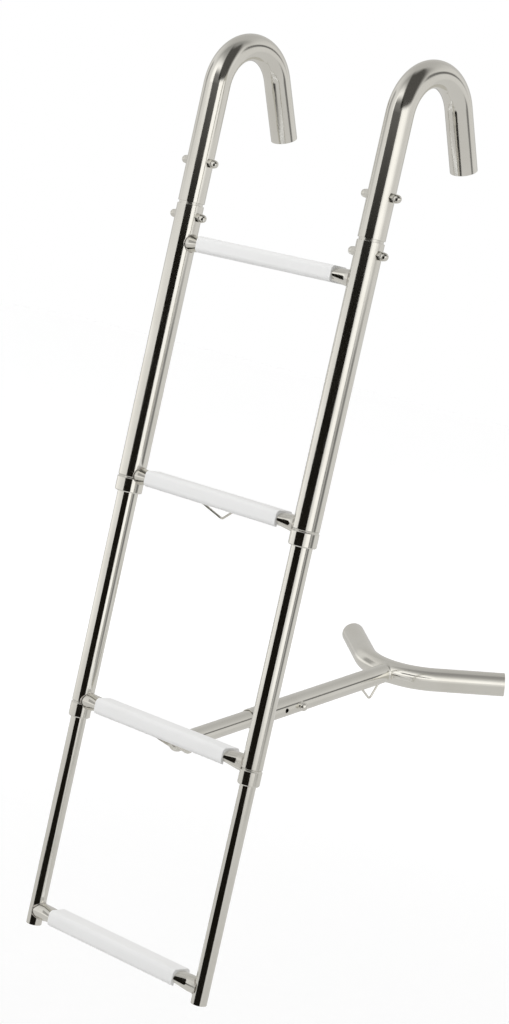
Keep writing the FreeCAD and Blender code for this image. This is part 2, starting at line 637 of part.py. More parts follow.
def wire_loops():
    """Bend the wire loops under the second step and under the strut, cut to what they join."""
    rise = "(Dims.wire_bend * (1 - cos({slope})) + {leg} * sin({slope}))"
    depth = rise.format(slope="Dims.step_wire_slope", leg="Dims.step_wire_leg")
    loop = bent_vee("step_wire", "Dims.wire_size", None, "Dims.wire_bend",
                    "Dims.step_wire_slope", "Dims.step_wire_leg", "XZ_Plane", "YZ_Plane", "up")
    root = "(Dims.rung_lift - Dims.rung_thick / 2 + Dims.wire_sink)"
    place(loop, "0", f"{depth} * sin(Dims.step_wire_tilt)",
          f"{root} - {depth} * cos(Dims.step_wire_tilt)", X_AXIS, "Dims.step_wire_tilt")
    solid = cut("step_wire", loop, [rung_flat("step_wire_seat", "Dims.tread_length / 2")])
    place(solid, "0", RAIL_Y, STEP_Z[1])
    finish(solid, "step_wire_loop")
    depth = rise.format(slope="Dims.strut_wire_slope", leg="Dims.strut_wire_leg")
    loop = bent_vee("strut_wire", "Dims.wire_size", None, "Dims.wire_bend",
                    "Dims.strut_wire_slope", "Dims.strut_wire_leg", "YZ_Plane", "XY_Plane", "down")
    along = "(Dims.fork_reach - Dims.strut_wire_back)"
    place(loop, "0", f"Dims.sheath_tube / 2 - Dims.wire_sink + {depth}", along)
    seat = cylinder("strut_wire_seat", "Dims.sheath_tube", "4 * Dims.strut_wire_leg",
                    z=f"{along} - 2 * Dims.strut_wire_leg")
    solid = cut("strut_wire", loop, [seat])
    strut_place(solid)
    finish(solid, "strut_wire_loop")


def pivot_lug(side):
    """Make a lug: a plate welded under the third rung, round about the strut's pivot."""
    name = f"pivot_lug_{side}"
    body = new_body(name)
    sketch = new_sketch(body, f"{name}_plate", "YZ_Plane")
    back = "Dims.pivot_back"
    drop = "-Dims.pivot_drop"
    lip = "(Dims.rung_lift + Dims.rung_thick / 2 + Dims.tread_cover - Dims.tread_tall - 1)"
    inside = "(Dims.tread_slot / 2 - 2)"
    add_outline(sketch, [
        (f"-{inside}", "-Dims.rung_thick / 4"), (inside, "-Dims.rung_thick / 4"),
        (inside, lip), (f"{back} / 2 + 1", lip), (back, f"{drop} + Dims.lug_round"),
        (back, f"{drop} - Dims.lug_round"),
        (f"{back} - 0.36 * Dims.lug_round", f"{drop} - 0.93 * Dims.lug_round"),
        (f"-{inside} * 2 / 3", f"{lip} + 0.5")])
    pad(body, sketch, "Dims.lug_thick", midplane=True)
    eye = new_sketch(body, f"{name}_eye", "YZ_Plane")
    add_circle(eye, "Dims.lug_round", "eye", x=back, y=drop)
    pad(body, eye, "Dims.lug_thick", midplane=True)
    doc.recompute()
    hole_sketch = new_sketch(body, f"{name}_hole", "YZ_Plane")
    add_circle(hole_sketch, "Dims.bolt_size / 2", "hole", x=back, y=drop)
    hole = body.newObject("PartDesign::Pocket", f"{name}_pocket")
    hole.Profile = hole_sketch
    hole.Type = "ThroughAll"
    hole.SideType = "Symmetric"
    solid = cut(name, body, [rung_flat(f"{name}_seat", "Dims.arm_tube")])
    middle = "(Dims.arm_tube / 2 + Dims.lug_gap + Dims.lug_thick / 2)"
    place(solid, f"{SIDES[side]} * {middle}", RAIL_Y, STEP_Z[2])
    return finish(solid, name)


def pivot_bolt():
    """Make the strut's pivot: a stud through both lugs, with a dome nut on each end."""
    seat = "(Dims.arm_tube / 2 + Dims.lug_gap + Dims.lug_thick)"
    reach = f"({seat} + Dims.nut_height + Dims.dome_rise)"
    stud = cylinder("pivot_stud_bar", "Dims.bolt_size", f"2 * {reach}", f"-{reach}",
                    PIVOT_Y, PIVOT_Z, Y_AXIS, "90")
    finish(stud, "pivot_stud")
    nuts = [dome_nut(f"pivot_nut_{side}", f"{way} * {seat}", way, PIVOT_Y, PIVOT_Z)
            for side, way in SIDES.items()]
    group("pivot_nuts", nuts)


def build():
    """Build every sub-part of the ladder."""
    middle_top = f"({UPPER_END_Z} + Dims.guide_length + Dims.slide_gap + Dims.rail_wall)"
    lower_top = f"({MIDDLE_END_Z} + Dims.guide_length + Dims.slide_gap + Dims.rail_wall)"
    for side in SIDES:
        hook(side)
        joint_sleeve(side)
        upper_rail(side)
        joint_bolts(side)
        collar(f"upper_collar_{side}", side, "Dims.upper_tube", UPPER_BORE,
               "Dims.middle_tube", UPPER_END_Z)
        sliding_rail(f"middle_rail_{side}", side, "Dims.middle_tube", UPPER_BORE,
                     middle_top, "Dims.swage_length", f"{MIDDLE_END_Z} - {middle_top}")
        collar(f"middle_collar_{side}", side, "Dims.middle_tube", MIDDLE_BORE,
               "Dims.lower_tube", MIDDLE_END_Z)
        sliding_rail(f"lower_rail_{side}", side, "Dims.lower_tube", MIDDLE_BORE,
                     lower_top, "Dims.swage_length", f"{LOWER_END_Z} - {lower_top}")
        pivot_lug(side)
    rung(1, "Dims.upper_tube", False)
    rung(2, "Dims.upper_tube", True)
    rung(3, "Dims.middle_tube", True)
    rung(4, "Dims.lower_tube", False)
    for number in range(1, 5):
        tread(number)
    pivot_bolt()
    strut_arm()
    strut_sheath()
    strut_fork()
    strut_lock()
    wire_loops()
    doc.recompute()


def check():
    """Stop if any object failed or any sub-part has no sound shape."""
    for obj in doc.Objects:
        bad = {"Invalid", "Error"} & set(obj.State)
        if bad:
            raise RuntimeError(f"{obj.Name} ({obj.Label}) is {sorted(bad)}")
    for obj in PARTS:
        if obj.Shape.isNull() or not obj.Shape.isValid():
            raise RuntimeError(f"{obj.Label} has no sound shape")


def write():
    """Write each sub-part's shape to its own file."""
    os.makedirs("parts", exist_ok=True)
    for obj in PARTS:
        obj.Shape.exportStep(f"parts/{obj.Label}.step")


build()
check()
write()
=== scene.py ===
"""Looks of a telescopic boarding ladder: polished tube, moulded treads, studio and camera.

Every visible tube, rung, tread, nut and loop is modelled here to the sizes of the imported
part and stands for its node.  Lengths in the dataclasses are millimetres, and are turned
into metres once, when a piece is finished.
"""

import logging
import math
from dataclasses import dataclass, field
from enum import Enum
from typing import Callable, Iterable, Sequence

import bmesh
import bpy
from mathutils import Matrix, Vector


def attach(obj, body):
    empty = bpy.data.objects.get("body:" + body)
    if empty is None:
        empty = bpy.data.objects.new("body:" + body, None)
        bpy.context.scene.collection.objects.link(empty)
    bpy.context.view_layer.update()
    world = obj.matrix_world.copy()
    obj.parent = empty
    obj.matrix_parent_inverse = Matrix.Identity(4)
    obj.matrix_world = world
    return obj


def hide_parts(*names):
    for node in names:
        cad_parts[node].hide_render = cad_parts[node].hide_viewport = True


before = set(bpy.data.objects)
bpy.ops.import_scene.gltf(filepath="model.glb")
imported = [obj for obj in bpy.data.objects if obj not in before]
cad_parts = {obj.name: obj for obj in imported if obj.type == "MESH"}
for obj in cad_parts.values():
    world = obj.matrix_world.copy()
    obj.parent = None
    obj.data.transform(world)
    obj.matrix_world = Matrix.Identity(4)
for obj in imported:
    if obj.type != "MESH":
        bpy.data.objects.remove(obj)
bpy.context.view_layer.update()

logging.basicConfig(level=logging.INFO, format="%(message)s")
log = logging.getLogger("ladder")

MM = 0.001          # one millimetre in metres
ROUND = 96          # sides of a turned piece
CUT_EDGE = 0.35     # bevel of a tube's cut end
HIDDEN = 0.7        # how far a joined end runs on inside what it meets
CREASE = 38.0       # angle above which an edge stays sharp, in degrees
MERGE = 1e-4        # vertices closer than this are one

Colour = tuple[float, float, float]
Socket = bpy.types.NodeSocket


class Side(Enum):
    """The two sides of the ladder, by the sign of X."""

    LEFT = -1
    RIGHT = 1

    @property
    def word(self) -> str:
        """The side's name as the nodes spell it."""
        return self.name.lower()


class Body(Enum):
    """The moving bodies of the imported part."""

    HOOKS = "hook_section"
    MIDDLE = "middle_section"
    LOWER = "lower_section"
    ARM = "strut_inner"
    SHEATH = "strut_outer"


class Slot(Enum):
    """The record's material slots."""

    STEEL = "polished_steel"
    PLASTIC = "white_plastic"


@dataclass(frozen=True)
class Ladder:
    """Sizes and levels that several sub-assemblies share, in millimetres."""

    rail_x: float = 138.0
    rail_y: float = -55.0
    upper: float = 16.0
    middle: float = 12.5
    lower: float = 9.5
    wall: float = 1.5
    gap: float = 0.3
    seam_z: float = -181.0
    seam_half: float = 1.5
    steps: tuple[float, ...] = (-227.0, -509.0, -788.0, -1053.0)
    collar_drop: float = 2.5
    tail: float = 18.5
    guide: float = 30.0
    swage: float = 38.0
    pivot: tuple[float, float, float] = (0.0, -22.0, -800.5)
    strut_angle: float = 13.6

    @property
    def upper_end(self) -> float:
        """Level at which the upper rails end in their collars."""
        return self.steps[1] - self.collar_drop

    @property
    def middle_end(self) -> float:
        """Level at which the middle rails end in their collars."""
        return self.steps[2] - self.collar_drop

    @property
    def strut(self) -> Matrix:
        """Frame of the strut: Z runs along it and Y points below it."""
        turn = Matrix.Rotation(math.radians(self.strut_angle - 90), 4, "X")
        return Matrix.Translation(self.pivot) @ turn


SIZES = Ladder()


# Finishes


class Graph:
    """A small helper that adds and joins the nodes of one node tree."""

    def __init__(self, tree: bpy.types.NodeTree) -> None:
        """Start on a cleared tree."""
        self.tree = tree
        tree.nodes.clear()

    def add(self, kind: str, settings: dict[str, object] | None = None,
            **inputs: object) -> bpy.types.Node:
        """Add a node, set its properties and fill or join its inputs.

        Args:
            kind: The node's type name, without the ShaderNode that all begin with.
            settings: Properties of the node itself.
            **inputs: Values or output sockets, by input name with _ for a space, or i0, i1
                for an input by its number.

        Returns:
            The new node.
        """
        node = self.tree.nodes.new(f"ShaderNode{kind}")
        for name, value in (settings or {}).items():
            setattr(node, name, value)
        for name, value in inputs.items():
            by_number = name[0] == "i" and name[1:].isdigit()
            socket = node.inputs[int(name[1:]) if by_number else name.replace("_", " ")]
            if isinstance(value, Socket):
                self.tree.links.new(value, socket)
            else:
                socket.default_value = value
        return node

    def math(self, operation: str, *values: object) -> Socket:
        """Return the output of a Math node on numbers or sockets."""
        named = {f"i{i}": value for i, value in enumerate(values)}
        return self.add("Math", {"operation": operation}, **named).outputs[0]

    def times(self, first: Socket, *others: Socket) -> Socket:
        """Multiply values.

        Args:
            first: The first value.
            *others: What it is multiplied by, in order.

        Returns:
            The product.
        """
        for other in others:
            first = self.math("MULTIPLY", first, other)
        return first

    def ramp(self, factor: Socket, stops: Sequence[tuple[float, float]]) -> Socket:
        """Read a ramp of levels by a factor.

        Args:
            factor: What the ramp is read by.
            stops: Pairs of place and level.

        Returns:
            The level.
        """
        node = self.add("ValToRGB", Fac=factor)
        elements = node.color_ramp.elements
        while len(elements) < len(stops):
            elements.new(0.5)
        for element, (place, grey) in zip(elements, stops):
            element.position = place
            element.color = (grey, grey, grey, 1.0)
        return self.add("RGBToBW", Color=node.outputs["Color"]).outputs[0]

    def spread(self, value: Socket, low: float, high: float, start: float = 0.3,
               end: float = 0.7) -> Socket:
        """Map a value smoothly from start..end to low..high.

        Args:
            value: The socket that is mapped.
            low: Result at start.
            high: Result at end.
            start: Where the result begins to change, at first for a noise.
            end: Where it stops changing.

        Returns:
            The mapped value.
        """
        node = self.add("MapRange", {"interpolation_type": "SMOOTHSTEP"}, Value=value,
                        From_Min=start, From_Max=end, To_Min=low, To_Max=high)
        return node.outputs[0]

    def window(self, value: Socket, start: float, full: float, fading: float,
               end: float) -> Socket:
        """Make a level of 1 between two values that fades to 0 outside them.

        Args:
            value: What it is read by.
            start: Where it begins to rise.
            full: Where it is full.
            fading: Where it begins to fall.
            end: Where it is gone.

        Returns:
            The level.
        """
        return self.times(self.spread(value, 0.0, 1.0, start, full),
                          self.spread(value, 1.0, 0.0, fading, end))

    def place(self, output: str = "Object") -> Socket:
        """Return the coordinates of the point that is shaded."""
        return self.add("TexCoord").outputs[output]

    def noise(self, scale: float, stretch: tuple[float, float, float] = (1, 1, 1),
              detail: float = 2.0) -> Socket:
        """Make a noise on Object coordinates.

        Args:
            scale: Cells to the metre.
            stretch: Scale of each axis before the noise.
            detail: Octaves of the noise.

        Returns:
            The noise's level.
        """
        mapped = self.add("Mapping", Vector=self.place(), Scale=stretch).outputs[0]
        return self.add("TexNoise", Vector=mapped, Scale=scale, Detail=detail).outputs["Fac"]

    def edges(self, amount: float, start: float, end: float) -> Socket:
        """Return a level that rises along a piece's outer edges."""
        pointed = self.add("NewGeometry").outputs["Pointiness"]
        return self.spread(pointed, 0.0, amount, start, end)

    def tint(self, factor: Socket, first: Colour, second: Colour) -> Socket:
        """Mix two colours.

        Args:
            factor: Share of the second colour.
            first: The first colour.
            second: The second colour.

        Returns:
            The mixed colour.
        """
        node = self.add("Mix", {"data_type": "RGBA"}, Factor=factor)
        node.inputs["A"].default_value = (*first, 1.0)
        node.inputs["B"].default_value = (*second, 1.0)
        return node.outputs["Result"]

    def blend(self, factor: Socket, first: object, second: object) -> Socket:
        """Return a mix of two levels by a factor."""
        return self.add("Mix", {"data_type": "FLOAT"}, Factor=factor, A=first,
                        B=second).outputs[0]

    def along(self, way: Socket, axis: tuple[float, float, float]) -> Socket:
        """Return how far a direction points along an axis."""
        return self.add("VectorMath", {"operation": "DOT_PRODUCT"}, i0=way,
                        i1=axis).outputs["Value"]

    def parts(self, way: Socket) -> tuple[Socket, Socket]:
        """Split a direction.

        Args:
            way: The direction, or a place about the middle.

        Returns:
            Its angle round the Z axis in radians, and its height.
        """
        split = self.add("SeparateXYZ", Vector=way).outputs
        return self.math("ARCTAN2", split[1], split[0]), split[2]

    def path(self, output: str) -> Socket:
        """Return an output of the Light Path node."""
        return self.add("LightPath").outputs[output]

    def bump(self, height: Socket, strength: float, distance: float,
             **under: Socket) -> Socket:
        """Make a bumped normal.

        Args:
            height: Height of the relief.
            strength: How much of it shows.
            distance: Depth of the relief in metres.
            **under: As Normal, a normal that the relief is added to.

        Returns:
            The bumped normal.
        """
        return self.add("Bump", Strength=strength, Distance=distance, Height=height,
                        **under).outputs["Normal"]

    def surface(self, **inputs: object) -> Socket:
        """Return a Principled shader with some of its inputs set."""
        return self.add("BsdfPrincipled", **inputs).outputs[0]

    def glow(self, kind: str, colour: Colour, strength: object) -> Socket:
        """Return an Emission or Background shader."""
        return self.add(kind, Color=(*colour, 1.0), Strength=strength).outputs[0]

    def either(self, share: Socket, first: Socket, second: Socket) -> Socket:
        """Return a mix of two shaders by the share of the second."""
        return self.add("MixShader", i0=share, i1=first, i2=second).outputs[0]

    def veil(self, share: Socket, colour: Colour) -> Socket:
        """Return a shader that is a plain colour by a share, and clear otherwise."""
        return self.either(share, self.add("BsdfTransparent").outputs[0],
                           self.glow("Emission", colour, 1.0))


@dataclass(frozen=True)
class Finish:
    """What a surface is made of; its material is made once and then shared."""

    name: str = "finish"
    slot: Slot = Slot.STEEL

    def material(self) -> bpy.types.Material:
        """Give the finish as a material.

        Returns:
            The material, made only the first time.
        """
        made = bpy.data.materials.get(self.name)
        if made is None:
            made = bpy.data.materials.new(self.name)
            made.use_nodes = True
            graph = Graph(made.node_tree)
            graph.add("OutputMaterial", Surface=self.shader(graph))
        return made

    def shader(self, graph: Graph) -> Socket:
        """Return the finish's shader, which each kind of finish makes for itself."""
        raise NotImplementedError


@dataclass(frozen=True)
class MirrorSteel(Finish):
    """Stainless tube polished to a mirror, with faint polishing lines and handling marks."""

    name: str = "mirror_steel"
    bright: Colour = (0.83, 0.82, 0.775)
    dull: Colour = (0.79, 0.775, 0.725)
    roughness: tuple[float, float] = (0.07, 0.13)
    lines: tuple[float, float, float] = (1.0, 1.0, 0.04)
    smear_scale: float = 17.0
    line_scale: float = 1500.0
    wave_scale: float = 55.0
    ripple: float = 0.00005
    scratch: float = 0.00002

    def shader(self, graph: Graph) -> Socket:
        """Make the polished metal.

        Args:
            graph: The material's nodes.

        Returns:
            The shader.
        """
        smears = graph.noise(self.smear_scale, detail=4.0)
        lines = graph.noise(self.line_scale, self.lines, 2.0)
        waves = graph.noise(self.wave_scale, (1.0, 1.0, 0.35), 1.0)
        worn = graph.edges(0.10, 0.515, 0.60)
        rough = graph.math("ADD", graph.spread(smears, *self.roughness), worn)
        rough = graph.math("ADD", rough, graph.spread(lines, -0.01, 0.025))
        colour = graph.tint(graph.spread(smears, 0.0, 1.0, 0.25, 0.75), self.bright, self.dull)
        relief = graph.bump(waves, 0.5, self.ripple)
        relief = graph.bump(lines, 0.12, self.scratch, Normal=relief)
        return graph.surface(Base_Color=colour, Metallic=1.0, Roughness=rough, Normal=relief)


@dataclass(frozen=True)
class WeldSteel(Finish):
    """A weld bead, brushed over after welding: rougher and a little darker than the tube."""

    name: str = "weld_steel"
    bright: Colour = (0.72, 0.70, 0.66)
    burnt: Colour = (0.50, 0.46, 0.41)
    roughness: tuple[float, float] = (0.22, 0.40)
    patch_scale: float = 160.0
    grain_scale: float = 1300.0
    grain: float = 0.0001

    def shader(self, graph: Graph) -> Socket:
        """Make the brushed metal.

        Args:
            graph: The material's nodes.

        Returns:
            The shader.
        """
        patches = graph.noise(self.patch_scale, detail=3.0)
        grains = graph.noise(self.grain_scale, detail=2.0)
        colour = graph.tint(graph.spread(patches, 0.0, 1.0), self.bright, self.burnt)
        return graph.surface(Base_Color=colour, Metallic=1.0,
                             Roughness=graph.spread(patches, *self.roughness),
                             Normal=graph.bump(grains, 0.35, self.grain))


@dataclass(frozen=True)
class TreadPlastic(Finish):
    """White moulded plastic with a fine satin grain, scuffed lightly along its edges."""

    name: str = "tread_plastic"
    slot: Slot = Slot.PLASTIC
    clean: Colour = (0.84, 0.84, 0.835)
    scuffed: Colour = (0.775, 0.77, 0.755)
    roughness: tuple[float, float] = (0.38, 0.52)
    blotch_scale: float = 26.0
    mark_scale: float = 420.0
    grain_scale: float = 2600.0
    grain: float = 0.00005
    gloss: float = 0.42

    def shader(self, graph: Graph) -> Socket:
        """Make the moulded plastic.

        Args:
            graph: The material's nodes.

        Returns:
            The shader.
        """
        blotches = graph.noise(self.blotch_scale, (0.4, 1.0, 1.0), 4.0)
        grain = graph.noise(self.grain_scale, detail=1.0)
        marks = graph.noise(self.mark_scale, (0.08, 1.0, 1.0), 3.0)
        worn = graph.edges(0.35, 0.51, 0.58)
        dirt = graph.times(graph.spread(blotches, 0.0, 0.6, 0.45, 0.8),
                           graph.spread(marks, 0.4, 1.0))
        colour = graph.tint(graph.math("MAXIMUM", dirt, worn), self.clean, self.scuffed)
        return graph.surface(Base_Color=colour, Specular_IOR_Level=self.gloss,
                             Roughness=graph.spread(blotches, *self.roughness),
                             Normal=graph.bump(grain, 0.22, self.grain))


@dataclass(frozen=True)
class PaleFloor(Finish):
    """Matt white floor that shows the object's shadow on an otherwise white ground."""

    name: str = "pale_floor"
    colour: Colour = (0.86, 0.86, 0.86)
    speckle: float = 0.985
    lift: tuple[float, float] = (0.14, 0.38)
    reach: tuple[float, float] = (1.34, 4.7)

    def shader(self, graph: Graph) -> Socket:
        """Make the floor, with a small glow for the camera that grows with the distance.

        Args:
            graph: The material's nodes.

        Returns:
            The shader.
        """
        colour = graph.tint(graph.noise(30.0, detail=3.0), self.colour,
                            tuple(c * self.speckle for c in self.colour))
        matt = graph.add("BsdfDiffuse", Color=colour, Roughness=0.9)
        away = graph.add("VectorMath", {"operation": "LENGTH"}, i0=graph.place())
        lift = graph.spread(away.outputs["Value"], *self.lift, *self.reach)
        glow = graph.glow("Emission", (1, 1, 1), graph.times(graph.path("Is Camera Ray"), lift))
        return graph.add("AddShader", i0=matt.outputs[0], i1=glow).outputs[0]


@dataclass(frozen=True)
class DarkCard(Finish):
    """Black that thins out towards the card's top and for longer reflected rays."""

    name: str = "dark_card"
    colour: Colour = (0.008, 0.007, 0.005)
    limit: tuple[float, float] = (0.74, 0.80)

    def shader(self, graph: Graph) -> Socket:
        """Make the card's black.

        Args:
            graph: The material's nodes.

        Returns:
            The shader.
        """
        height = graph.add("SeparateXYZ", Vector=graph.place()).outputs[2]
        further = graph.math("ADD", graph.spread(height, 0.0, 0.36, -0.48, -0.36),
                             graph.spread(height, 0.14, 0.0, -1.14, -1.02))
        far = graph.math("SUBTRACT", graph.path("Ray Length"), further)
        return graph.veil(graph.times(graph.spread(far, 1.0, 0.0, *self.limit),
                                      graph.spread(height, 1.0, 0.84, -0.25, 0.15),
                                      graph.spread(height, 1.0, 0.0, 0.18, 0.50)), self.colour)


@dataclass(frozen=True)
class DarkScreen(Finish):
    """Dark grey that thins out towards the screen's edges and for longer reflected rays."""

    name: str = "dark_screen"
    colour: Colour = (0.080, 0.077, 0.072)
    radius: float = 0.95
    side: tuple[float, float, float] = (-0.784, -0.577, -0.229)
    limit: tuple[float, float] = (1.30, 1.38)

    def shader(self, graph: Graph) -> Socket:
        """Make the screen's grey.

        Args:
            graph: The material's nodes.

        Returns:
            The shader.
        """
        where = graph.place()
        turn, height = graph.parts(where)
        rise = graph.math("DIVIDE", height, self.radius)
        return graph.veil(graph.times(
            graph.spread(graph.along(where, self.side), 1.0, 0.0, -0.07, 0.06),
            graph.spread(graph.math("DEGREES", turn), 1.0, 0.0, 4.0, 26.0),
            graph.window(rise, 0.08, 0.19, 0.93, 1.0),
            graph.spread(graph.path("Ray Length"), 1.0, 0.0, *self.limit)), self.colour)


STEEL = MirrorSteel()
SMALL_STEEL = MirrorSteel("fastener_steel", roughness=(0.10, 0.18), lines=(1.0, 1.0, 1.0))
STRUT_STEEL = MirrorSteel("strut_steel", lines=(1.0, 0.04, 1.0))
RUNG_STEEL = MirrorSteel("rung_steel", lines=(0.04, 1.0, 1.0))
FORK_STEEL = MirrorSteel("fork_steel", roughness=(0.09, 0.16), lines=(0.05, 1.0, 1.0))
WELD = WeldSteel()
PLASTIC = TreadPlastic()


# Shapes


def verts_of(edges: Iterable[bmesh.types.BMEdge]) -> list[bmesh.types.BMVert]:
    """Return the vertices of some edges, each once and in the same order every run."""
    return list(dict.fromkeys(vert for edge in edges for vert in edge.verts))


def mesh_of(name: str, bm: bmesh.types.BMesh) -> bpy.types.Mesh:
    """Turn a bmesh into a mesh, and free it.

    Args:
        name: Name of the mesh.
        bm: The bmesh.

    Returns:
        The mesh.
    """
    mesh = bpy.data.meshes.new(name)
    bm.to_mesh(mesh)
    bm.free()
    return mesh


def put(name: str, data: bpy.types.ID) -> bpy.types.Object:
    """Make an object and put it in the scene.

    Args:
        name: Name of the object.
        data: Its mesh, lamp or camera.

    Returns:
        The object.
    """
    made = bpy.data.objects.new(name, data)
    bpy.context.scene.collection.objects.link(made)
    return made


def smooth(made: bpy.types.Object, crease: float = CREASE) -> None:
    """Shade a piece smoothly, its large faces keeping their own direction beside bevels.

    Args:
        made: The piece's object.
        crease: Angle above which an edge stays sharp.
    """
    made.data.shade_smooth()
    made.data.set_sharp_from_angle(angle=math.radians(crease))
    weighted = made.modifiers.new("even_normals", "WEIGHTED_NORMAL")
    weighted.mode = "FACE_AREA"
    weighted.weight = 50
    weighted.keep_sharp = True


def along_x(x: float, y: float, z: float, sign: int = 1) -> Matrix:
    """Return a matrix whose Z axis points along +X or -X from a point."""
    return Matrix.Translation((x, y, z)) @ Matrix.Rotation(math.radians(90 * sign), 4, "Y")


def arc(radius: float, height: float, first: float, last: float,
        steps: int) -> list[tuple[float, float]]:
    """Return points of a circle about the Z axis at a height, by angles from the level."""
    turns = [math.radians(first + (last - first) * i / steps) for i in range(steps + 1)]
    return [(radius * math.cos(t), height + radius * math.sin(t)) for t in turns]


def rail_frame(side: Side, z: float) -> Matrix:
    """Return the frame of a rail at a level."""
    return Matrix.Translation((side.value * SIZES.rail_x, SIZES.rail_y, z))


class Shape:
    """A mesh under construction, in millimetres."""

    def __init__(self) -> None:
        """Start an empty mesh."""
        self.bm = bmesh.new()

    def ring(self, radius: float, where: Matrix, segments: int = ROUND) -> list:
        """Add a circle.

        Args:
            radius: Radius of the circle.
            where: Matrix from the circle's own XY plane.
            segments: Number of its sides.

        Returns:
            Its edges.
        """
        made = bmesh.ops.create_circle(self.bm, cap_ends=False, radius=radius,
                                       segments=segments, matrix=where)
        return list(dict.fromkeys(edge for vert in made["verts"] for edge in vert.link_edges))

    def draw(self, edges: list, way: Vector) -> list:
        """Extrude edges.

        Args:
            edges: Edges of the section.
            way: How far they move.

        Returns:
            The far edges.
        """
        geom = bmesh.ops.extrude_edge_only(self.bm, edges=edges)["geom"]
        verts = [item for item in geom if isinstance(item, bmesh.types.BMVert)]
        bmesh.ops.translate(self.bm, verts=verts, vec=way)
        moved = set(verts)
        return [item for item in geom if isinstance(item, bmesh.types.BMEdge)
                and item.verts[0] in moved and item.verts[1] in moved]

    def bend(self, edges: list, centre: Vector, axis: Vector, degrees: float,
             steps: int) -> list:
        """Sweep edges round an axis.

        Args:
            edges: Edges of the section.
            centre: A point on the axis.
            axis: Direction of the axis.
            degrees: Angle of the bend.
            steps: Number of divisions.

        Returns:
            The last edges.
        """
        made = bmesh.ops.spin(self.bm, geom=edges + verts_of(edges), cent=centre, axis=axis,
                              angle=math.radians(degrees), steps=steps, use_duplicate=False)
        return [item for item in made["geom_last"] if isinstance(item, bmesh.types.BMEdge)]

    def close(self, first: list, second: list) -> None:
        """Bridge two loops of edges."""
        bmesh.ops.bridge_loops(self.bm, edges=first + second)

    def close_round(self, loops: list[list]) -> None:
        """Bridge loops of edges in order, and the last one to the first."""
        for first, second in zip(loops, loops[1:] + loops[:1]):
            self.close(first, second)

    def tube(self, radii: tuple[float, float], face: Matrix,
             sweep: Callable[["Shape", list], list], cut_edge: float = CUT_EDGE) -> None:
        """Sweep two circles to the walls of a tube, and join them at both its ends.

        Args:
            radii: Outer and inner radius.
            face: Frame of the first end.
            sweep: Takes the shape and a circle's edges, and returns the last edges.
            cut_edge: Bevel of the cut ends.
        """
        firsts = []
        lasts = []
        for radius in radii:
            firsts.append(self.ring(radius, face))
            lasts.append(sweep(self, firsts[-1]))
        self.close(*firsts)
        self.close(*lasts)
        self.soften(cut_edge, 60.0)

    def turn(self, profile: Sequence[tuple[float, float]], where: Matrix,
             segments: int = ROUND, closed: bool = True) -> None:
        """Turn a profile round the Z axis of a matrix.

        Args:
            profile: Pairs of radius and height.
            where: Matrix of the turned piece.
            segments: Sides of the turned piece.
            closed: Whether the last point is joined to the first.
        """
        own = bmesh.new()
        verts = [own.verts.new((radius, 0.0, height)) for radius, height in profile]
        pairs = list(zip(verts, verts[1:]))
        if closed:
            pairs.append((verts[-1], verts[0]))
        edges = [own.edges.new(pair) for pair in pairs]
        bmesh.ops.spin(own, geom=verts + edges, cent=(0, 0, 0), axis=(0, 0, 1),
                       angle=math.tau, steps=segments, use_merge=True, use_duplicate=False)
        bmesh.ops.remove_doubles(own, verts=own.verts, dist=MERGE)
        bmesh.ops.transform(own, matrix=where, verts=own.verts)
        self.take(own)

    def take(self, other: bmesh.types.BMesh) -> None:
        """Join another mesh into this one.

        Args:
            other: The other mesh, which is freed.
        """
        spare = mesh_of("spare", other)
        self.bm.from_mesh(spare)
        bpy.data.meshes.remove(spare)

    def soften(self, width: float, degrees: float = 40.0, segments: int = 2) -> None:
        """Bevel every edge that is sharper than an angle.

        Args:
            width: Width of the bevel.
            degrees: Least angle between the faces of a bevelled edge.
            segments: Divisions of the bevel.
        """
        bmesh.ops.recalc_face_normals(self.bm, faces=self.bm.faces)
        least = math.radians(degrees)
        sharp = [edge for edge in self.bm.edges if len(edge.link_faces) == 2
                 and edge.calc_face_angle(0.0) > least]
        bmesh.ops.bevel(self.bm, geom=sharp, offset=width, segments=segments, profile=0.5,
                        affect="EDGES", material=-1, clamp_overlap=True)

    def place(self, where: Matrix) -> None:
        """Move everything made so far by a matrix."""
        bmesh.ops.transform(self.bm, matrix=where, verts=self.bm.verts)

    def shrink(self) -> None:
        """Turn millimetres into metres."""
        bmesh.ops.scale(self.bm, vec=(MM, MM, MM), verts=self.bm.verts)

    def publish(self, node: str, form: str, body: Body, finish: Finish = STEEL,
                stands_for: bool = True, crease: float = CREASE) -> bpy.types.Object:
        """Make the finished piece and tie it to its body.

        Args:
            node: Node that it belongs to.
            form: What the piece is, the end of its name.
            body: Body that it rides on.
            finish: Its finish.
            stands_for: Whether it replaces the node, and isn't an addition to it.
            crease: Angle above which an edge stays sharp.

        Returns:
            The piece's object.
        """
        bmesh.ops.remove_doubles(self.bm, verts=self.bm.verts, dist=MERGE)
        bmesh.ops.recalc_face_normals(self.bm, faces=self.bm.faces)
        self.shrink()
        name = f"{node}_{form}"
        made = put(name, mesh_of(name, self.bm))
        made.data.materials.append(finish.material())
        smooth(made, crease)
        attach(made, body.value)
        if stands_for:
            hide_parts(node)
        log.info("%s: %d faces on %s", name, len(made.data.polygons), body.value)
        return made


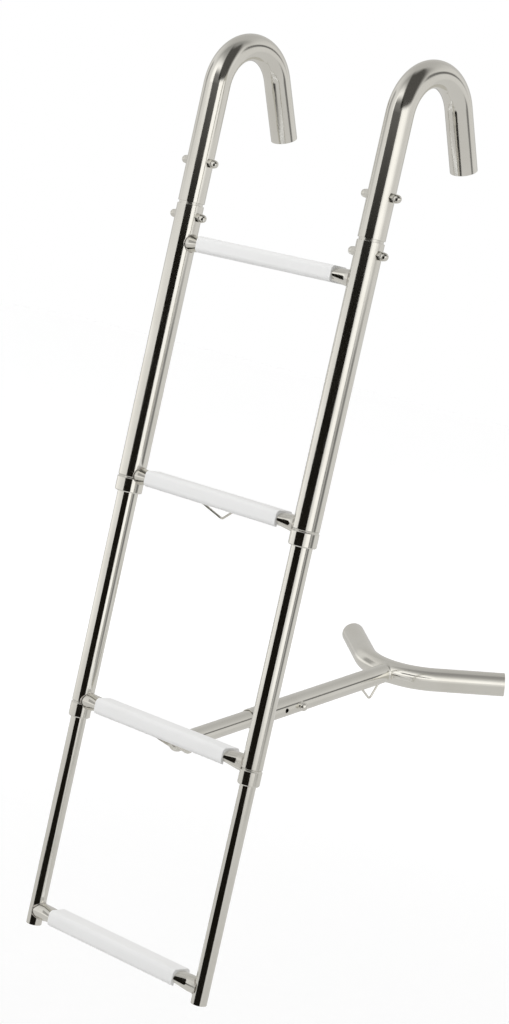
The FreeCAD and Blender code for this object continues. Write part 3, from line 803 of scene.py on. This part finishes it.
@dataclass(frozen=True)
class Vee:
    """The middle line of a V with a round bend at its foot, in its own XZ plane."""

    slope: float
    bend: float
    leg: float
    foot: float = 0.0
    steps: int = 16

    @property
    def way(self) -> Vector:
        """Direction of the first leg, towards the bend."""
        return Vector((math.cos(math.radians(self.slope)), 0, -math.sin(math.radians(self.slope))))

    @property
    def centre(self) -> Vector:
        """Centre of the bend."""
        return Vector((0, 0, self.foot + self.bend))

    @property
    def start(self) -> Vector:
        """Open end of the first leg."""
        down = Vector((self.way.z, 0, -self.way.x))
        return self.centre + down * self.bend - self.way * self.leg

    @property
    def face(self) -> Matrix:
        """Frame of the first open end."""
        turn = self.way.to_track_quat("Z", "Y").to_matrix().to_4x4()
        return Matrix.Translation(self.start) @ turn

    @property
    def depth(self) -> float:
        """How far the foot lies below the open ends."""
        slope = math.radians(self.slope)
        return self.bend * (1 - math.cos(slope)) + self.leg * math.sin(slope)

    def sweep(self, shape: Shape, edges: list) -> list:
        """Sweep a section along the V.

        Args:
            shape: The shape that it belongs to.
            edges: Its edges at the first open end.

        Returns:
            Its edges at the other end.
        """
        edges = shape.draw(edges, self.way * self.leg)
        edges = shape.bend(edges, self.centre, Vector((0, 1, 0)), -2 * self.slope, self.steps)
        return shape.draw(edges, Vector((self.way.x, 0, -self.way.z)) * self.leg)


# Sub-assemblies


@dataclass
class Hook:
    """A bent tube that goes over the gunwale."""

    side: Side
    bend_radius: float = 55.0
    bend_angle: float = 151.0
    straight: float = 142.0
    leg: float = 76.0

    def sweep(self, shape: Shape, edges: list) -> list:
        """Sweep a circle up from the seam, over the crown and down to the cut end.

        Args:
            shape: The shape that it belongs to.
            edges: Edges of the circle.

        Returns:
            The edges at the cut end.
        """
        turned = math.radians(self.bend_angle)
        centre = Vector((self.side.value * SIZES.rail_x, SIZES.rail_y + self.bend_radius,
                         SIZES.seam_z + self.straight))
        edges = shape.draw(edges, Vector((0, 0, self.straight - SIZES.seam_half)))
        edges = shape.bend(edges, centre, Vector((1, 0, 0)), -self.bend_angle, 56)
        return shape.draw(edges, Vector((0, math.sin(turned), math.cos(turned))) * self.leg)

    def build(self) -> None:
        """Model the tube with both its walls and its plain cut end."""
        shape = Shape()
        shape.tube((SIZES.upper, SIZES.upper - SIZES.wall),
                   rail_frame(self.side, SIZES.seam_z + SIZES.seam_half), self.sweep)
        shape.publish(f"hook_{self.side.word}", "tube", Body.HOOKS)


@dataclass
class UpperRail:
    """A plain tube from the seam down to its collar."""

    side: Side

    def build(self) -> None:
        """Model the tube."""
        shape = Shape()
        outer = SIZES.upper
        inner = outer - SIZES.wall
        top = -SIZES.seam_half
        low = SIZES.upper_end - SIZES.seam_z
        shape.turn([(outer, low), (outer, top), (inner, top), (inner, low)],
                   rail_frame(self.side, SIZES.seam_z))
        shape.soften(CUT_EDGE, 60.0)
        shape.publish(f"upper_rail_{self.side.word}", "tube", Body.HOOKS)


@dataclass
class SlidingRail:
    """A rail that slides in the one above, widened at its top as a stop."""

    side: Side
    level: str
    body: Body
    outer: float
    guide_bore: float
    collar_z: float
    end_z: float

    def build(self) -> None:
        """Model the tube with its swaged top."""
        shape = Shape()
        neck = self.collar_z + SIZES.guide + SIZES.gap + SIZES.wall
        bore = self.outer - SIZES.wall
        wide = self.guide_bore - SIZES.gap
        end = self.end_z - neck
        shape.turn([(bore, end), (self.outer, end), (self.outer, -SIZES.wall), (wide, 0.0),
                    (wide, SIZES.swage), (wide - SIZES.wall, SIZES.swage),
                    (wide - SIZES.wall, 0.0), (bore, -SIZES.wall)],
                   rail_frame(self.side, neck))
        shape.soften(CUT_EDGE, 30.0)
        shape.publish(f"{self.level}_rail_{self.side.word}", "tube", self.body)


@dataclass
class Collar:
    """A turned collar with a groove under its top edge and a guide up inside the rail."""

    side: Side
    level: str
    body: Body
    rail: float
    inner_rail: float
    end_z: float
    length: float = 19.5
    step: float = 0.5
    groove: float = 0.7
    play: float = 0.1

    def build(self) -> None:
        """Model the turned ring."""
        shape = Shape()
        inside = self.inner_rail + SIZES.gap
        guide = self.rail - SIZES.wall - self.play
        outside = self.rail + self.step
        shape.turn([
            (inside, -self.length + 0.5), (inside + 0.5, -self.length),
            (outside - 1.0, -self.length), (outside, -self.length + 1.2),
            (outside, -2.9), (self.rail - self.groove, -1.7),
            (self.rail - self.groove, -1.2), (self.rail, -0.05), (guide, 0.0),
            (guide, SIZES.guide), (inside, SIZES.guide)], rail_frame(self.side, self.end_z))
        shape.soften(0.2, 25.0)
        shape.publish(f"{self.level}_collar_{self.side.word}", "ring", self.body)


@dataclass
class DomeNut:
    """A dome nut: a chamfered hexagon, a short shoulder and a round crown."""

    flats: float = 10.0
    height: float = 5.0
    dome: float = 4.75
    rise: float = 2.2
    shoulder: float = 0.25
    seat_depth: float = 1.1

    def add(self, shape: Shape, where: Matrix) -> None:
        """Add the nut to a shape.

        Args:
            shape: The shape that takes it.
            where: Frame of the seat, with Z pointing out of the bolt's end.
        """
        own = Shape()
        corner = self.flats / 2 / math.cos(math.radians(30))
        tall = self.height + self.seat_depth
        middle = Matrix.Translation((0, 0, (self.height - self.seat_depth) / 2))
        bmesh.ops.create_cone(own.bm, cap_ends=True, segments=6, radius1=corner,
                              radius2=corner, depth=tall, matrix=middle)
        own.soften(0.4, 45.0, 3)
        crown = arc(self.dome, self.height + self.rise, 0, 90, 12)
        wide = self.dome + self.shoulder
        own.turn([(0.0, self.height - 0.5), (wide, self.height - 0.5),
                  (wide, self.height + 0.1), (self.dome, self.height + 0.4)]
                 + crown[:-1] + [(0.0, crown[-1][1])], Matrix(), 48, closed=False)
        own.place(where)
        shape.take(own.bm)


@dataclass
class JointBolts:
    """The dome nuts on both ends of the two studs of a hook joint."""

    side: Side
    up: float = 50.0
    down: float = 15.0
    nut: DomeNut = field(default_factory=DomeNut)

    def build(self) -> None:
        """Model the four nuts as one piece."""
        shape = Shape()
        for z in (SIZES.seam_z + self.up, SIZES.seam_z - self.down):
            for sign in (-1, 1):
                x = self.side.value * SIZES.rail_x + sign * SIZES.upper
                self.nut.add(shape, along_x(x, SIZES.rail_y, z, sign))
        shape.publish(f"joint_nuts_{self.side.word}", "domes", Body.HOOKS, SMALL_STEEL)


@dataclass
class Step:
    """A rung, the tread moulded round its flat and the weld beads at its ends."""

    number: int
    body: Body
    rail: float
    end: float = 10.0
    wide: float = 13.8
    thick: float = 7.6
    lift: float = 0.9
    round_part: float = 17.0
    cap_shares: tuple[float, float] = (0.62, 0.25)
    flat_divisions: int = 9
    tread_length: float = 207.0
    tread_half: float = 15.0
    tread_tall: float = 19.5
    tread_cover: float = 2.3
    tread_round: float = 6.0
    slot_half: float = 9.5
    bead: tuple[tuple[float, float], ...] = (
        (-0.7, 0.1), (0.95, 0.02), (0.8, 0.5), (0.4, 0.85), (-0.05, 0.95), (-0.7, 0.9))

    @property
    def middle(self) -> Matrix:
        """Frame of the rung's middle."""
        return Matrix.Translation((0, SIZES.rail_y, SIZES.steps[self.number - 1]))

    def seat(self, verts: Iterable[bmesh.types.BMVert], sign: int, radius: float) -> None:
        """Fit vertices to the rail's round face.

        Args:
            verts: Vertices of a ring round the rung.
            sign: Side of the ladder.
            radius: Radius that they lie on, about the rail's axis.
        """
        for vert in verts:
            depth = math.sqrt(max(radius ** 2 - vert.co.y ** 2, 4.0))
            vert.co.x = sign * (SIZES.rail_x - depth)

    def half_rung(self, shape: Shape, sign: int) -> list:
        """Model the rung from one rail to its flat.

        Args:
            shape: The shape that takes it.
            sign: Side of the ladder.

        Returns:
            The ring at the flat.
        """
        hidden = self.rail - HIDDEN
        edges = shape.ring(self.end, along_x(0, 0, 0))
        self.seat(verts_of(edges), sign, hidden)
        rim = edges
        before = 1.0
        for share in self.cap_shares:
            rim = shape.draw(rim, Vector())
            verts = verts_of(rim)
            bmesh.ops.scale(shape.bm, vec=(1, share / before, share / before), verts=verts)
            self.seat(verts, sign, hidden)
            before = share
        bmesh.ops.contextual_create(shape.bm, geom=rim)
        start = SIZES.rail_x - self.round_part
        flat = self.tread_length / 2 - 3.0
        edges = shape.draw(edges, Vector())
        for vert in verts_of(edges):
            vert.co.x = sign * start
        steps = self.flat_divisions
        for i in range(steps):
            before, now = self.ease(i / steps), self.ease((i + 1) / steps)
            edges = shape.draw(edges, Vector((-sign * (start - flat) / steps, 0, 0)))
            verts = verts_of(edges)
            grow = (1, self.half(self.wide, now) / self.half(self.wide, before),
                    self.half(self.thick, now) / self.half(self.thick, before))
            bmesh.ops.scale(shape.bm, vec=grow, verts=verts,
                            space=Matrix.Translation((0, 0, -self.lift * before)))
            bmesh.ops.translate(shape.bm, verts=verts, vec=(0, 0, self.lift * (now - before)))
        return edges

    @staticmethod
    def ease(share: float) -> float:
        """Return a share that starts and ends a little gently."""
        return 0.88 * share + 0.12 * share * share * (3 - 2 * share)

    def half(self, flat: float, share: float) -> float:
        """Return half the rung's width or height on its way from round to flat."""
        return self.end + (flat - self.end) * share

    def build_rung(self) -> None:
        """Model the rung."""
        shape = Shape()
        shape.close(*[self.half_rung(shape, side.value) for side in Side])
        shape.place(self.middle)
        shape.publish(f"rung_{self.number}", "tube", self.body, RUNG_STEEL)

    def build_tread(self) -> None:
        """Model the tread, with its rounded edges and the slot under it."""
        shape = Shape()
        top = self.lift + self.thick + self.tread_cover
        low = top - self.tread_tall
        outline = [(self.slot_half, self.lift), (self.slot_half, low), (self.tread_half, low),
                   (self.tread_half, top)]
        outline += [(-y, z) for y, z in reversed(outline)]
        verts = [shape.bm.verts.new((-self.tread_length / 2, y, z)) for y, z in outline]
        first = shape.bm.faces.new(verts)
        made = bmesh.ops.extrude_face_region(shape.bm, geom=[first], use_keep_orig=True)["geom"]
        moved = [item for item in made if isinstance(item, bmesh.types.BMVert)]
        bmesh.ops.translate(shape.bm, verts=moved, vec=(self.tread_length, 0, 0))
        bmesh.ops.recalc_face_normals(shape.bm, faces=shape.bm.faces)
        corners = [edge for edge in shape.bm.edges
                   if abs(edge.verts[0].co.x - edge.verts[1].co.x) > 1
                   and abs(abs(edge.verts[0].co.y) - self.tread_half) < 0.01]
        bmesh.ops.bevel(shape.bm, geom=corners, offset=self.tread_round, segments=10,
                        profile=0.5, affect="EDGES", material=-1)
        shape.soften(1.2, 60.0, 4)
        shape.place(self.middle)
        shape.publish(f"tread_{self.number}", "moulding", self.body, PLASTIC)

    def build_welds(self) -> None:
        """Model the bead round each end of the rung."""
        shape = Shape()
        for side in Side:
            loops = []
            for size, out in self.bead:
                edges = shape.ring(self.end + size, along_x(0, 0, 0), 120)
                verts = verts_of(edges)
                self.seat(verts, side.value, self.rail + out)
                for vert in verts:
                    turn = math.atan2(vert.co.z, vert.co.y)
                    vert.co.yz *= 1 + 0.012 * math.sin(31 * turn + self.number) * min(out, 1.0)
                loops.append(edges)
            shape.close_round(loops)
        shape.place(self.middle)
        shape.publish(f"rung_{self.number}", "welds", self.body, WELD, False)

    def build(self) -> None:
        """Model the whole step."""
        self.build_rung()
        self.build_tread()
        self.build_welds()


@dataclass
class Strut:
    """The stand-off strut: inner tube, sheath, fork, lock and the pivot's nuts."""

    arm: float = 10.5
    arm_length: float = 300.0
    tip: float = 7.0
    sheath: float = 12.0
    wall: float = 1.2
    sheath_start: float = 118.0
    reach: float = 391.0
    fork: float = 15.0
    fork_bend: float = 92.0
    fork_slope: float = 40.0
    fork_leg: float = 88.0
    lock: float = 203.0
    pitch: float = 27.0
    hole: float = 3.0
    boss: float = 5.5
    boss_rise: float = 3.0
    lug_seat: float = 14.2
    bead: tuple[tuple[float, float], ...] = (
        (-0.8, 0.1), (1.4, 0.05), (1.15, 0.8), (0.5, 1.25), (-0.1, 1.4), (-0.8, 1.3))

    @staticmethod
    def drill(made: bpy.types.Object, places: Sequence[float], both: bool, radius: float,
              outer: float) -> None:
        """Drill round holes along X through a tube of the strut and keep its sheen smooth.

        Args:
            made: The tube's object.
            places: Distances of the holes along the strut.
            both: Whether they go through both walls.
            radius: Radius of the holes.
            outer: Outside radius of the tube.
        """
        drill = Shape()
        for place in places:
            bmesh.ops.create_cone(drill.bm, cap_ends=True, segments=40, radius1=radius,
                                  radius2=radius, depth=outer * (4 if both else 1),
                                  matrix=along_x(0 if both else outer, 0, place))
        drill.place(SIZES.strut)
        drill.shrink()
        tool = put("drill", mesh_of("drill", drill.bm))
        made.modifiers.clear()
        cut = made.modifiers.new("holes", "BOOLEAN")
        cut.object = tool
        cut.operation = "DIFFERENCE"
        cut.solver = "EXACT"
        bpy.context.view_layer.update()
        solid = made.evaluated_get(bpy.context.evaluated_depsgraph_get())
        drilled = bpy.data.meshes.new_from_object(solid)
        made.modifiers.clear()
        spent = (made.data, tool.data)
        made.data = drilled
        bpy.data.objects.remove(tool)
        for mesh in spent:
            bpy.data.meshes.remove(mesh)
        drilled.name = made.name
        smooth(made)

    @staticmethod
    def rings(low: float, high: float, places: Sequence[float]) -> list[float]:
        """Return heights for a tube's wall with close rings either side of each hole."""
        near = [place + shift for place in places for shift in (-4.5, 4.5)]
        return [low] + sorted(level for level in near if low + 1 < level < high - 1) + [high]

    def build_arm(self) -> None:
        """Model the inner tube, closed to a round tip in front of the pivot."""
        shape = Shape()
        holes = [self.lock + i * self.pitch for i in range(-1, 3)]
        inner = self.arm - self.wall
        levels = self.rings(-self.tip, self.arm_length, [0.0] + holes)
        outside = [(0.0, -self.tip - self.arm)] + arc(self.arm, -self.tip, -90, 0, 14)[1:]
        outside += [(self.arm, level) for level in levels[1:]]
        inside = [(inner, level) for level in reversed(levels)]
        inside += arc(inner, -self.tip, 0, -90, 14)[1:-1] + [(0.0, -self.tip - inner)]
        shape.turn(outside + inside, Matrix(), closed=False)
        shape.place(SIZES.strut)
        made = shape.publish("strut_arm", "tube", Body.ARM, STRUT_STEEL)
        self.drill(made, holes, False, self.hole, self.arm)
        self.drill(made, [0.0], True, self.hole + 0.2, self.arm)

    def seat(self, verts: Iterable[bmesh.types.BMVert], out: float) -> None:
        """Fit vertices to the fork's round face.

        Args:
            verts: Vertices of a ring round the strut.
            out: How far outside the face they lie.
        """
        for vert in verts:
            sag = self.fork_bend - math.sqrt(self.fork_bend ** 2 - vert.co.x ** 2)
            depth = math.sqrt((self.fork + out) ** 2 - vert.co.y ** 2)
            vert.co.z = self.reach + sag - depth

    def sheath_levels(self) -> list[float]:
        """Return heights of the sheath's rings, from its open end to short of the fork."""
        far = self.reach - self.fork - 12.0
        return self.rings(self.sheath_start, far, [self.lock - self.pitch])

    def sweep_sheath(self, shape: Shape, edges: list) -> list:
        """Sweep a circle along the sheath and seat its far end on the fork.

        Args:
            shape: The shape that it belongs to.
            edges: Edges of the circle.

        Returns:
            The edges on the fork.
        """
        levels = self.sheath_levels()
        for low, high in zip(levels, levels[1:]):
            edges = shape.draw(edges, Vector((0, 0, high - low)))
        edges = shape.draw(edges, Vector((0, 0, 1.0)))
        self.seat(verts_of(edges), -HIDDEN)
        return edges

    def build_sheath(self) -> None:
        """Model the outer tube, its far end seated on the fork."""
        shape = Shape()
        start = Matrix.Translation((0, 0, self.sheath_start))
        shape.tube((self.sheath, self.sheath - self.wall), start, self.sweep_sheath)
        shape.place(SIZES.strut)
        made = shape.publish("strut_sheath", "tube", Body.SHEATH, STRUT_STEEL)
        self.drill(made, [self.lock - self.pitch], False, self.hole, self.sheath)

    def build_fork(self) -> None:
        """Model the bent fork, open at both plain cut ends."""
        shape = Shape()
        line = Vee(self.fork_slope, self.fork_bend, self.fork_leg, self.reach, 48)
        shape.tube((self.fork, self.fork - SIZES.wall), line.face, line.sweep, 0.4)
        shape.place(SIZES.strut)
        shape.publish("strut_fork", "tube", Body.SHEATH, FORK_STEEL)

    def build_fork_weld(self) -> None:
        """Model the smoothed bead where the sheath meets the fork."""
        shape = Shape()
        loops = []
        for size, out in self.bead:
            edges = shape.ring(self.sheath + size, Matrix(), 132)
            verts = verts_of(edges)
            for vert in verts:
                turn = math.atan2(vert.co.y, vert.co.x)
                vert.co.xy *= 1 + 0.003 * math.sin(37 * turn) * min(out, 1.0)
            self.seat(verts, out)
            loops.append(edges)
        shape.close_round(loops)
        shape.place(SIZES.strut)
        shape.publish("strut_fork", "weld", Body.SHEATH, SMALL_STEEL, False)

    def build_lock(self) -> None:
        """Model the threaded boss and the round-headed screw in it."""
        seat = self.sheath + self.boss_rise
        where = SIZES.strut @ along_x(0, 0, self.lock)
        shape = Shape()
        shape.turn([(self.hole, self.arm + 0.5), (self.boss + 0.8, self.sheath - 1.2),
                    (self.boss, self.sheath + 0.4), (self.boss, seat - 0.3),
                    (self.boss - 0.4, seat), (self.hole, seat)], where, 64)
        shape.publish("lock_boss", "ring", Body.SHEATH, SMALL_STEEL, crease=50.0)
        shape = Shape()
        crown = arc(self.boss, seat + 0.1, 0, 90, 14)
        shape.turn([(0.0, self.arm + 0.4), (self.hole - 0.2, self.arm + 0.4),
                    (self.hole - 0.2, seat + 0.1)] + crown[:-1] + [(0.0, crown[-1][1])],
                   where, 64, closed=False)
        shape.publish("lock_screw", "head", Body.SHEATH, SMALL_STEEL)

    def build_pivot_nuts(self) -> None:
        """Model the dome nuts on both ends of the pivot's stud."""
        shape = Shape()
        x, y, z = SIZES.pivot
        for sign in (-1, 1):
            DomeNut(seat_depth=0.0).add(shape, along_x(x + sign * self.lug_seat, y, z, sign))
        shape.publish("pivot_nuts", "domes", Body.MIDDLE, SMALL_STEEL)

    def build(self) -> None:
        """Model the whole strut."""
        self.build_arm()
        self.build_sheath()
        self.build_fork()
        self.build_fork_weld()
        self.build_lock()
        self.build_pivot_nuts()


@dataclass
class WireLoop:
    """A V of bent wire, welded by both its ends to what carries it."""

    node: str
    body: Body
    line: Vee
    hidden: float
    where: Matrix
    wire: float = 1.4
    dab: float = 2.3
    dab_drop: float = 1.6

    def build(self) -> None:
        """Model the wire, closed at both its ends, and a small weld at each."""
        shape = Shape()
        shown = Vee(self.line.slope, self.line.bend, self.line.leg - self.hidden)
        first = shape.ring(self.wire, shown.face, 28)
        for loop in (first, shown.sweep(shape, first)):
            bmesh.ops.contextual_create(shape.bm, geom=loop)
        shape.place(self.where)
        shape.publish(self.node, "wire", self.body, SMALL_STEEL)
        dabs = Shape()
        root = shown.start + shown.way * self.dab_drop
        for sign in (1, -1):
            place = self.where @ Matrix.Translation((sign * root.x, 0, root.z))
            bmesh.ops.create_icosphere(dabs.bm, subdivisions=3, radius=self.dab,
                                       matrix=place @ Matrix.Diagonal((1.25, 0.9, 0.62, 1.0)))
        dabs.publish(self.node, "welds", self.body, WELD, False)


@dataclass
class CarriedNodes:
    """Nodes that are shown as they were packed and only take a finish."""

    names: tuple[str, ...] = ("joint_sleeve_left", "joint_sleeve_right", "joint_studs_left",
                              "joint_studs_right", "pivot_stud", "pivot_lug_left",
                              "pivot_lug_right")

    def build(self) -> None:
        """Give each node its finish."""
        for name in self.names:
            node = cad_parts[name]
            node.data.materials.clear()
            node.data.materials.append(SMALL_STEEL.material())
            log.info("%s: carried over", name)


@dataclass
class Studio:
    """Floor, white surroundings, a dark card, soft lamps and the camera."""

    floor_z: float = -1320.0
    card_rows: tuple[tuple[float, float, float, float, float], ...] = (
        (520.0, -110.0, -800.0, 760.0, -640.0), (-50.0, -120.0, -780.0, 760.0, -610.0),
        (-400.0, -138.0, -620.0, 600.0, -530.0), (-530.0, -155.0, -490.0, 415.0, -400.0),
        (-850.0, -162.0, -480.0, 375.0, -365.0), (-970.0, -170.0, -565.0, 470.0, -368.0),
        (-1120.0, -320.0, -700.0, 600.0, -392.0), (-1200.0, -480.0, -800.0, 680.0, -415.0),
        (-1700.0, -480.0, -800.0, 680.0, -415.0))
    screen: DarkScreen = DarkScreen()
    screen_rise: float = 84.0
    screen_first: float = -130.0
    screen_turn: float = 160.0
    wall_levels: tuple[tuple[float, float], ...] = (
        (0.0, 0.62), (0.06, 0.62), (0.19, 0.66), (0.30, 0.62), (0.385, 0.66), (0.425, 0.98),
        (0.49, 0.98), (0.525, 0.88), (0.56, 0.66), (0.60, 0.58), (0.72, 0.60), (0.77, 0.49),
        (0.955, 0.47), (0.985, 0.58), (1.0, 0.60))
    band_levels: tuple[tuple[float, float], ...] = (
        (0.0, 0.86), (0.19, 0.66), (0.385, 0.66), (0.425, 0.95), (0.487, 0.95), (0.50, 0.17),
        (0.512, 0.17), (0.52, 0.46), (0.56, 0.15), (0.588, 0.15), (0.612, 0.58), (0.75, 0.58),
        (0.83, 0.54), (0.865, 0.26), (0.90, 0.30), (0.94, 0.52), (1.0, 0.86))
    box_top: tuple[float, float, float] = (-0.381, -0.739, -0.556)
    gap_plane: tuple[float, float, float] = (-0.494, 0.082, 0.866)
    far_side: tuple[float, float, float] = (-0.64, 0.77, 0.0)
    warmth: Colour = (1, 0.985, 0.958)
    eye: tuple[float, float, float] = (1.8211, -2.20082, -0.23901)
    right: tuple[float, float, float] = (0.74081, 0.63555, 0.21743)
    down: tuple[float, float, float] = (0.22897, 0.06538, -0.97123)
    forward: tuple[float, float, float] = (-0.63148, 0.76929, -0.09709)
    lens: float = 85.77

    def build_floor(self) -> None:
        """Lay the floor under the hanging ladder."""
        shape = bmesh.new()
        bmesh.ops.create_grid(shape, x_segments=8, y_segments=8, size=20.0,
                              matrix=Matrix.Translation((0, 0, self.floor_z * MM)))
        self.stage("floor", shape, PaleFloor()).visible_glossy = False

    def build_card(self) -> None:
        """Stand a dark card in front, which only the polished tubes reflect."""
        shape = bmesh.new()
        rows = [(shape.verts.new((x * MM, y * MM, z * MM)),
                 shape.verts.new((far_x * MM, far_y * MM, z * MM)))
                for z, x, y, far_x, far_y in self.card_rows]
        edges = [shape.edges.new(row) for row in rows]
        for first, second in zip(edges, edges[1:]):
            bmesh.ops.bridge_loops(shape, edges=[first, second])
        self.only_reflect(self.stage("dark_card", shape, DarkCard()))

    def build_screen(self) -> None:
        """Curve a dark screen round the top, which only the polished hooks reflect."""
        shape = bmesh.new()
        start = shape.verts.new((self.screen.radius, 0, 0))
        bmesh.ops.spin(shape, geom=[start], cent=(0, 0, 0), axis=(0, -1, 0), steps=14,
                       angle=math.radians(self.screen_rise), use_duplicate=False)
        first = Matrix.Rotation(math.radians(self.screen_first), 4, "Z")
        bmesh.ops.transform(shape, matrix=first, verts=shape.verts)
        bmesh.ops.spin(shape, geom=shape.verts[:] + shape.edges[:], cent=(0, 0, 0),
                       axis=(0, 0, 1), angle=math.radians(self.screen_turn), steps=32,
                       use_duplicate=False)
        self.only_reflect(self.stage("dark_screen", shape, self.screen))

    @staticmethod
    def stage(name: str, shape: bmesh.types.BMesh, finish: Finish) -> bpy.types.Object:
        """Put up a piece of the stage.

        Args:
            name: Name of the piece.
            shape: Its mesh, which is freed.
            finish: Its finish.

        Returns:
            The piece's object.
        """
        made = put(name, mesh_of(name, shape))
        made.data.materials.append(finish.material())
        return made

    @staticmethod
    def only_reflect(made: bpy.types.Object) -> None:
        """Let only reflections show a piece of the stage."""
        made.visible_camera = made.visible_diffuse = made.visible_shadow = False

    def build_world(self) -> None:
        """Make the surroundings: white to the eye, soft walls and ceiling to the metal."""
        world = bpy.data.worlds.new("studio")
        world.use_nodes = True
        bpy.context.scene.world = world
        graph = Graph(world.node_tree)
        way = graph.place("Generated")
        turn, height = graph.parts(way)
        around = graph.math("ADD", graph.math("DIVIDE", turn, math.tau), 0.5)
        # Levels by direction, and then the share of each that shows.
        walls = graph.ramp(around, self.wall_levels)
        bands = graph.ramp(around, self.band_levels)
        low = graph.window(height, -0.22, -0.15, -0.03, 0.015)
        ground = graph.spread(height, 1.0, 0.0, -0.19, -0.06)
        ceiling = graph.spread(height, 0.0, 1.0, 0.45, 0.98)
        above = graph.spread(graph.along(way, self.far_side), 0.26, 0.42, -0.12, 0.16)
        off = graph.math("SUBTRACT", graph.along(way, self.gap_plane), 0.06)
        gap = graph.times(graph.spread(graph.math("ABSOLUTE", off), 1.0, 0.0, 0.04, 0.14),
                          graph.window(around, 0.565, 0.60, 0.66, 0.70),
                          graph.spread(height, 0.0, 1.0, 0.12, 0.28))
        box = graph.times(graph.spread(height, 0.0, 1.0, 0.05, 0.09),
                          graph.spread(graph.along(way, self.box_top), 0.0, 1.0, -0.10, 0.14),
                          graph.window(around, 0.15, 0.21, 0.42, 0.46))
        post = graph.times(graph.window(height, 0.02, 0.08, 0.42, 0.50),
                           graph.window(around, 0.025, 0.045, 0.08, 0.10))
        grey = graph.blend(ground, walls, 0.52)
        for share, level in ((low, bands), (post, 0.32), (box, 0.98), (ceiling, above),
                             (gap, 0.13)):
            grey = graph.blend(share, grey, level)
        mirrored = graph.glow("Background", self.warmth, graph.math("MULTIPLY", grey, 1.22))
        ambient = graph.glow("Background", (1, 1, 1), 0.72)
        white = graph.glow("Background", (1, 1, 1), 1.0)
        metal = graph.either(graph.path("Is Glossy Ray"), ambient, mirrored)
        seen = graph.either(graph.path("Is Camera Ray"), metal, white)
        graph.add("OutputWorld", Surface=seen)

    def build_lamps(self) -> None:
        """Hang two large soft lamps, left out of the polished metal's reflections."""
        for name, place, size, power in (
                ("key_lamp", (-1.6, -2.4, 2.0), 1.5, 50.0),
                ("fill_lamp", (2.4, 1.6, 1.6), 2.4, 23.0)):
            lamp = bpy.data.lights.new(name, "AREA")
            lamp.shape = "DISK"
            lamp.size = size
            lamp.energy = power
            hung = put(name, lamp)
            hung.location = place
            aim = Vector((0, 0, -0.55)) - Vector(place)
            hung.rotation_euler = aim.to_track_quat("-Z", "Y").to_euler()
            hung.visible_glossy = False

    def build_camera(self) -> None:
        """Set up the camera at the photograph's angle."""
        data = bpy.data.cameras.new("camera")
        data.lens = self.lens
        data.sensor_width = 36.0
        data.clip_start = 0.05
        data.clip_end = 200.0
        camera = put("camera", data)
        axes = (Vector(self.right), -Vector(self.down), -Vector(self.forward))
        camera.matrix_world = (Matrix.Translation(self.eye)
                               @ Matrix(axes).transposed().to_4x4())
        bpy.context.scene.camera = camera

    def build(self) -> None:
        """Set up the whole studio."""
        self.build_floor()
        self.build_card()
        self.build_screen()
        self.build_world()
        self.build_lamps()
        self.build_camera()
        bpy.context.scene.view_settings.view_transform = "Standard"


def wire_loops() -> list[WireLoop]:
    """Set the wire loops under the second step and under the strut.

    Returns:
        Both loops.
    """
    step, strut = Vee(36.5, 4.0, 38.5), Vee(46.0, 4.0, 23.5)
    lean = math.radians(44)     # of the step's loop, back from hanging straight down
    sunk = 2.5                  # how deep the loops' ends lie in what carries them
    along = 353.0               # from the pivot to the strut's loop
    root = SIZES.steps[1] + Step.lift - Step.thick + sunk
    under_step = Matrix.Translation((0, SIZES.rail_y + step.depth * math.sin(lean),
                                     root - step.depth * math.cos(lean)))
    level = Matrix(((0, 1, 0, 0), (0, 0, -1, 0), (-1, 0, 0, 0), (0, 0, 0, 1)))
    under_strut = Matrix.Translation((0, Strut.sheath - sunk + strut.depth, along))
    return [
        WireLoop("step_wire_loop", Body.HOOKS, step, 4.0,
                 under_step @ Matrix.Rotation(lean, 4, "X")),
        WireLoop("strut_wire_loop", Body.SHEATH, strut, 2.4, SIZES.strut @ under_strut @ level),
    ]


def main() -> None:
    parts: list = []
    for side in Side:
        parts += [
            Hook(side),
            UpperRail(side),
            JointBolts(side),
            Collar(side, "upper", Body.HOOKS, SIZES.upper, SIZES.middle, SIZES.upper_end),
            SlidingRail(side, "middle", Body.MIDDLE, SIZES.middle, SIZES.upper - SIZES.wall,
                        SIZES.upper_end, SIZES.middle_end),
            Collar(side, "middle", Body.MIDDLE, SIZES.middle, SIZES.lower, SIZES.middle_end),
            SlidingRail(side, "lower", Body.LOWER, SIZES.lower, SIZES.middle - SIZES.wall,
                        SIZES.middle_end, SIZES.steps[3] - SIZES.tail),
        ]
    parts += [
        Step(1, Body.HOOKS, SIZES.upper),
        Step(2, Body.HOOKS, SIZES.upper),
        Step(3, Body.MIDDLE, SIZES.middle),
        Step(4, Body.LOWER, SIZES.lower),
        Strut(),
        *wire_loops(),
        CarriedNodes(),
        Studio(),
    ]
    for part in parts:
        part.build()


if __name__ == "__main__":
    main()
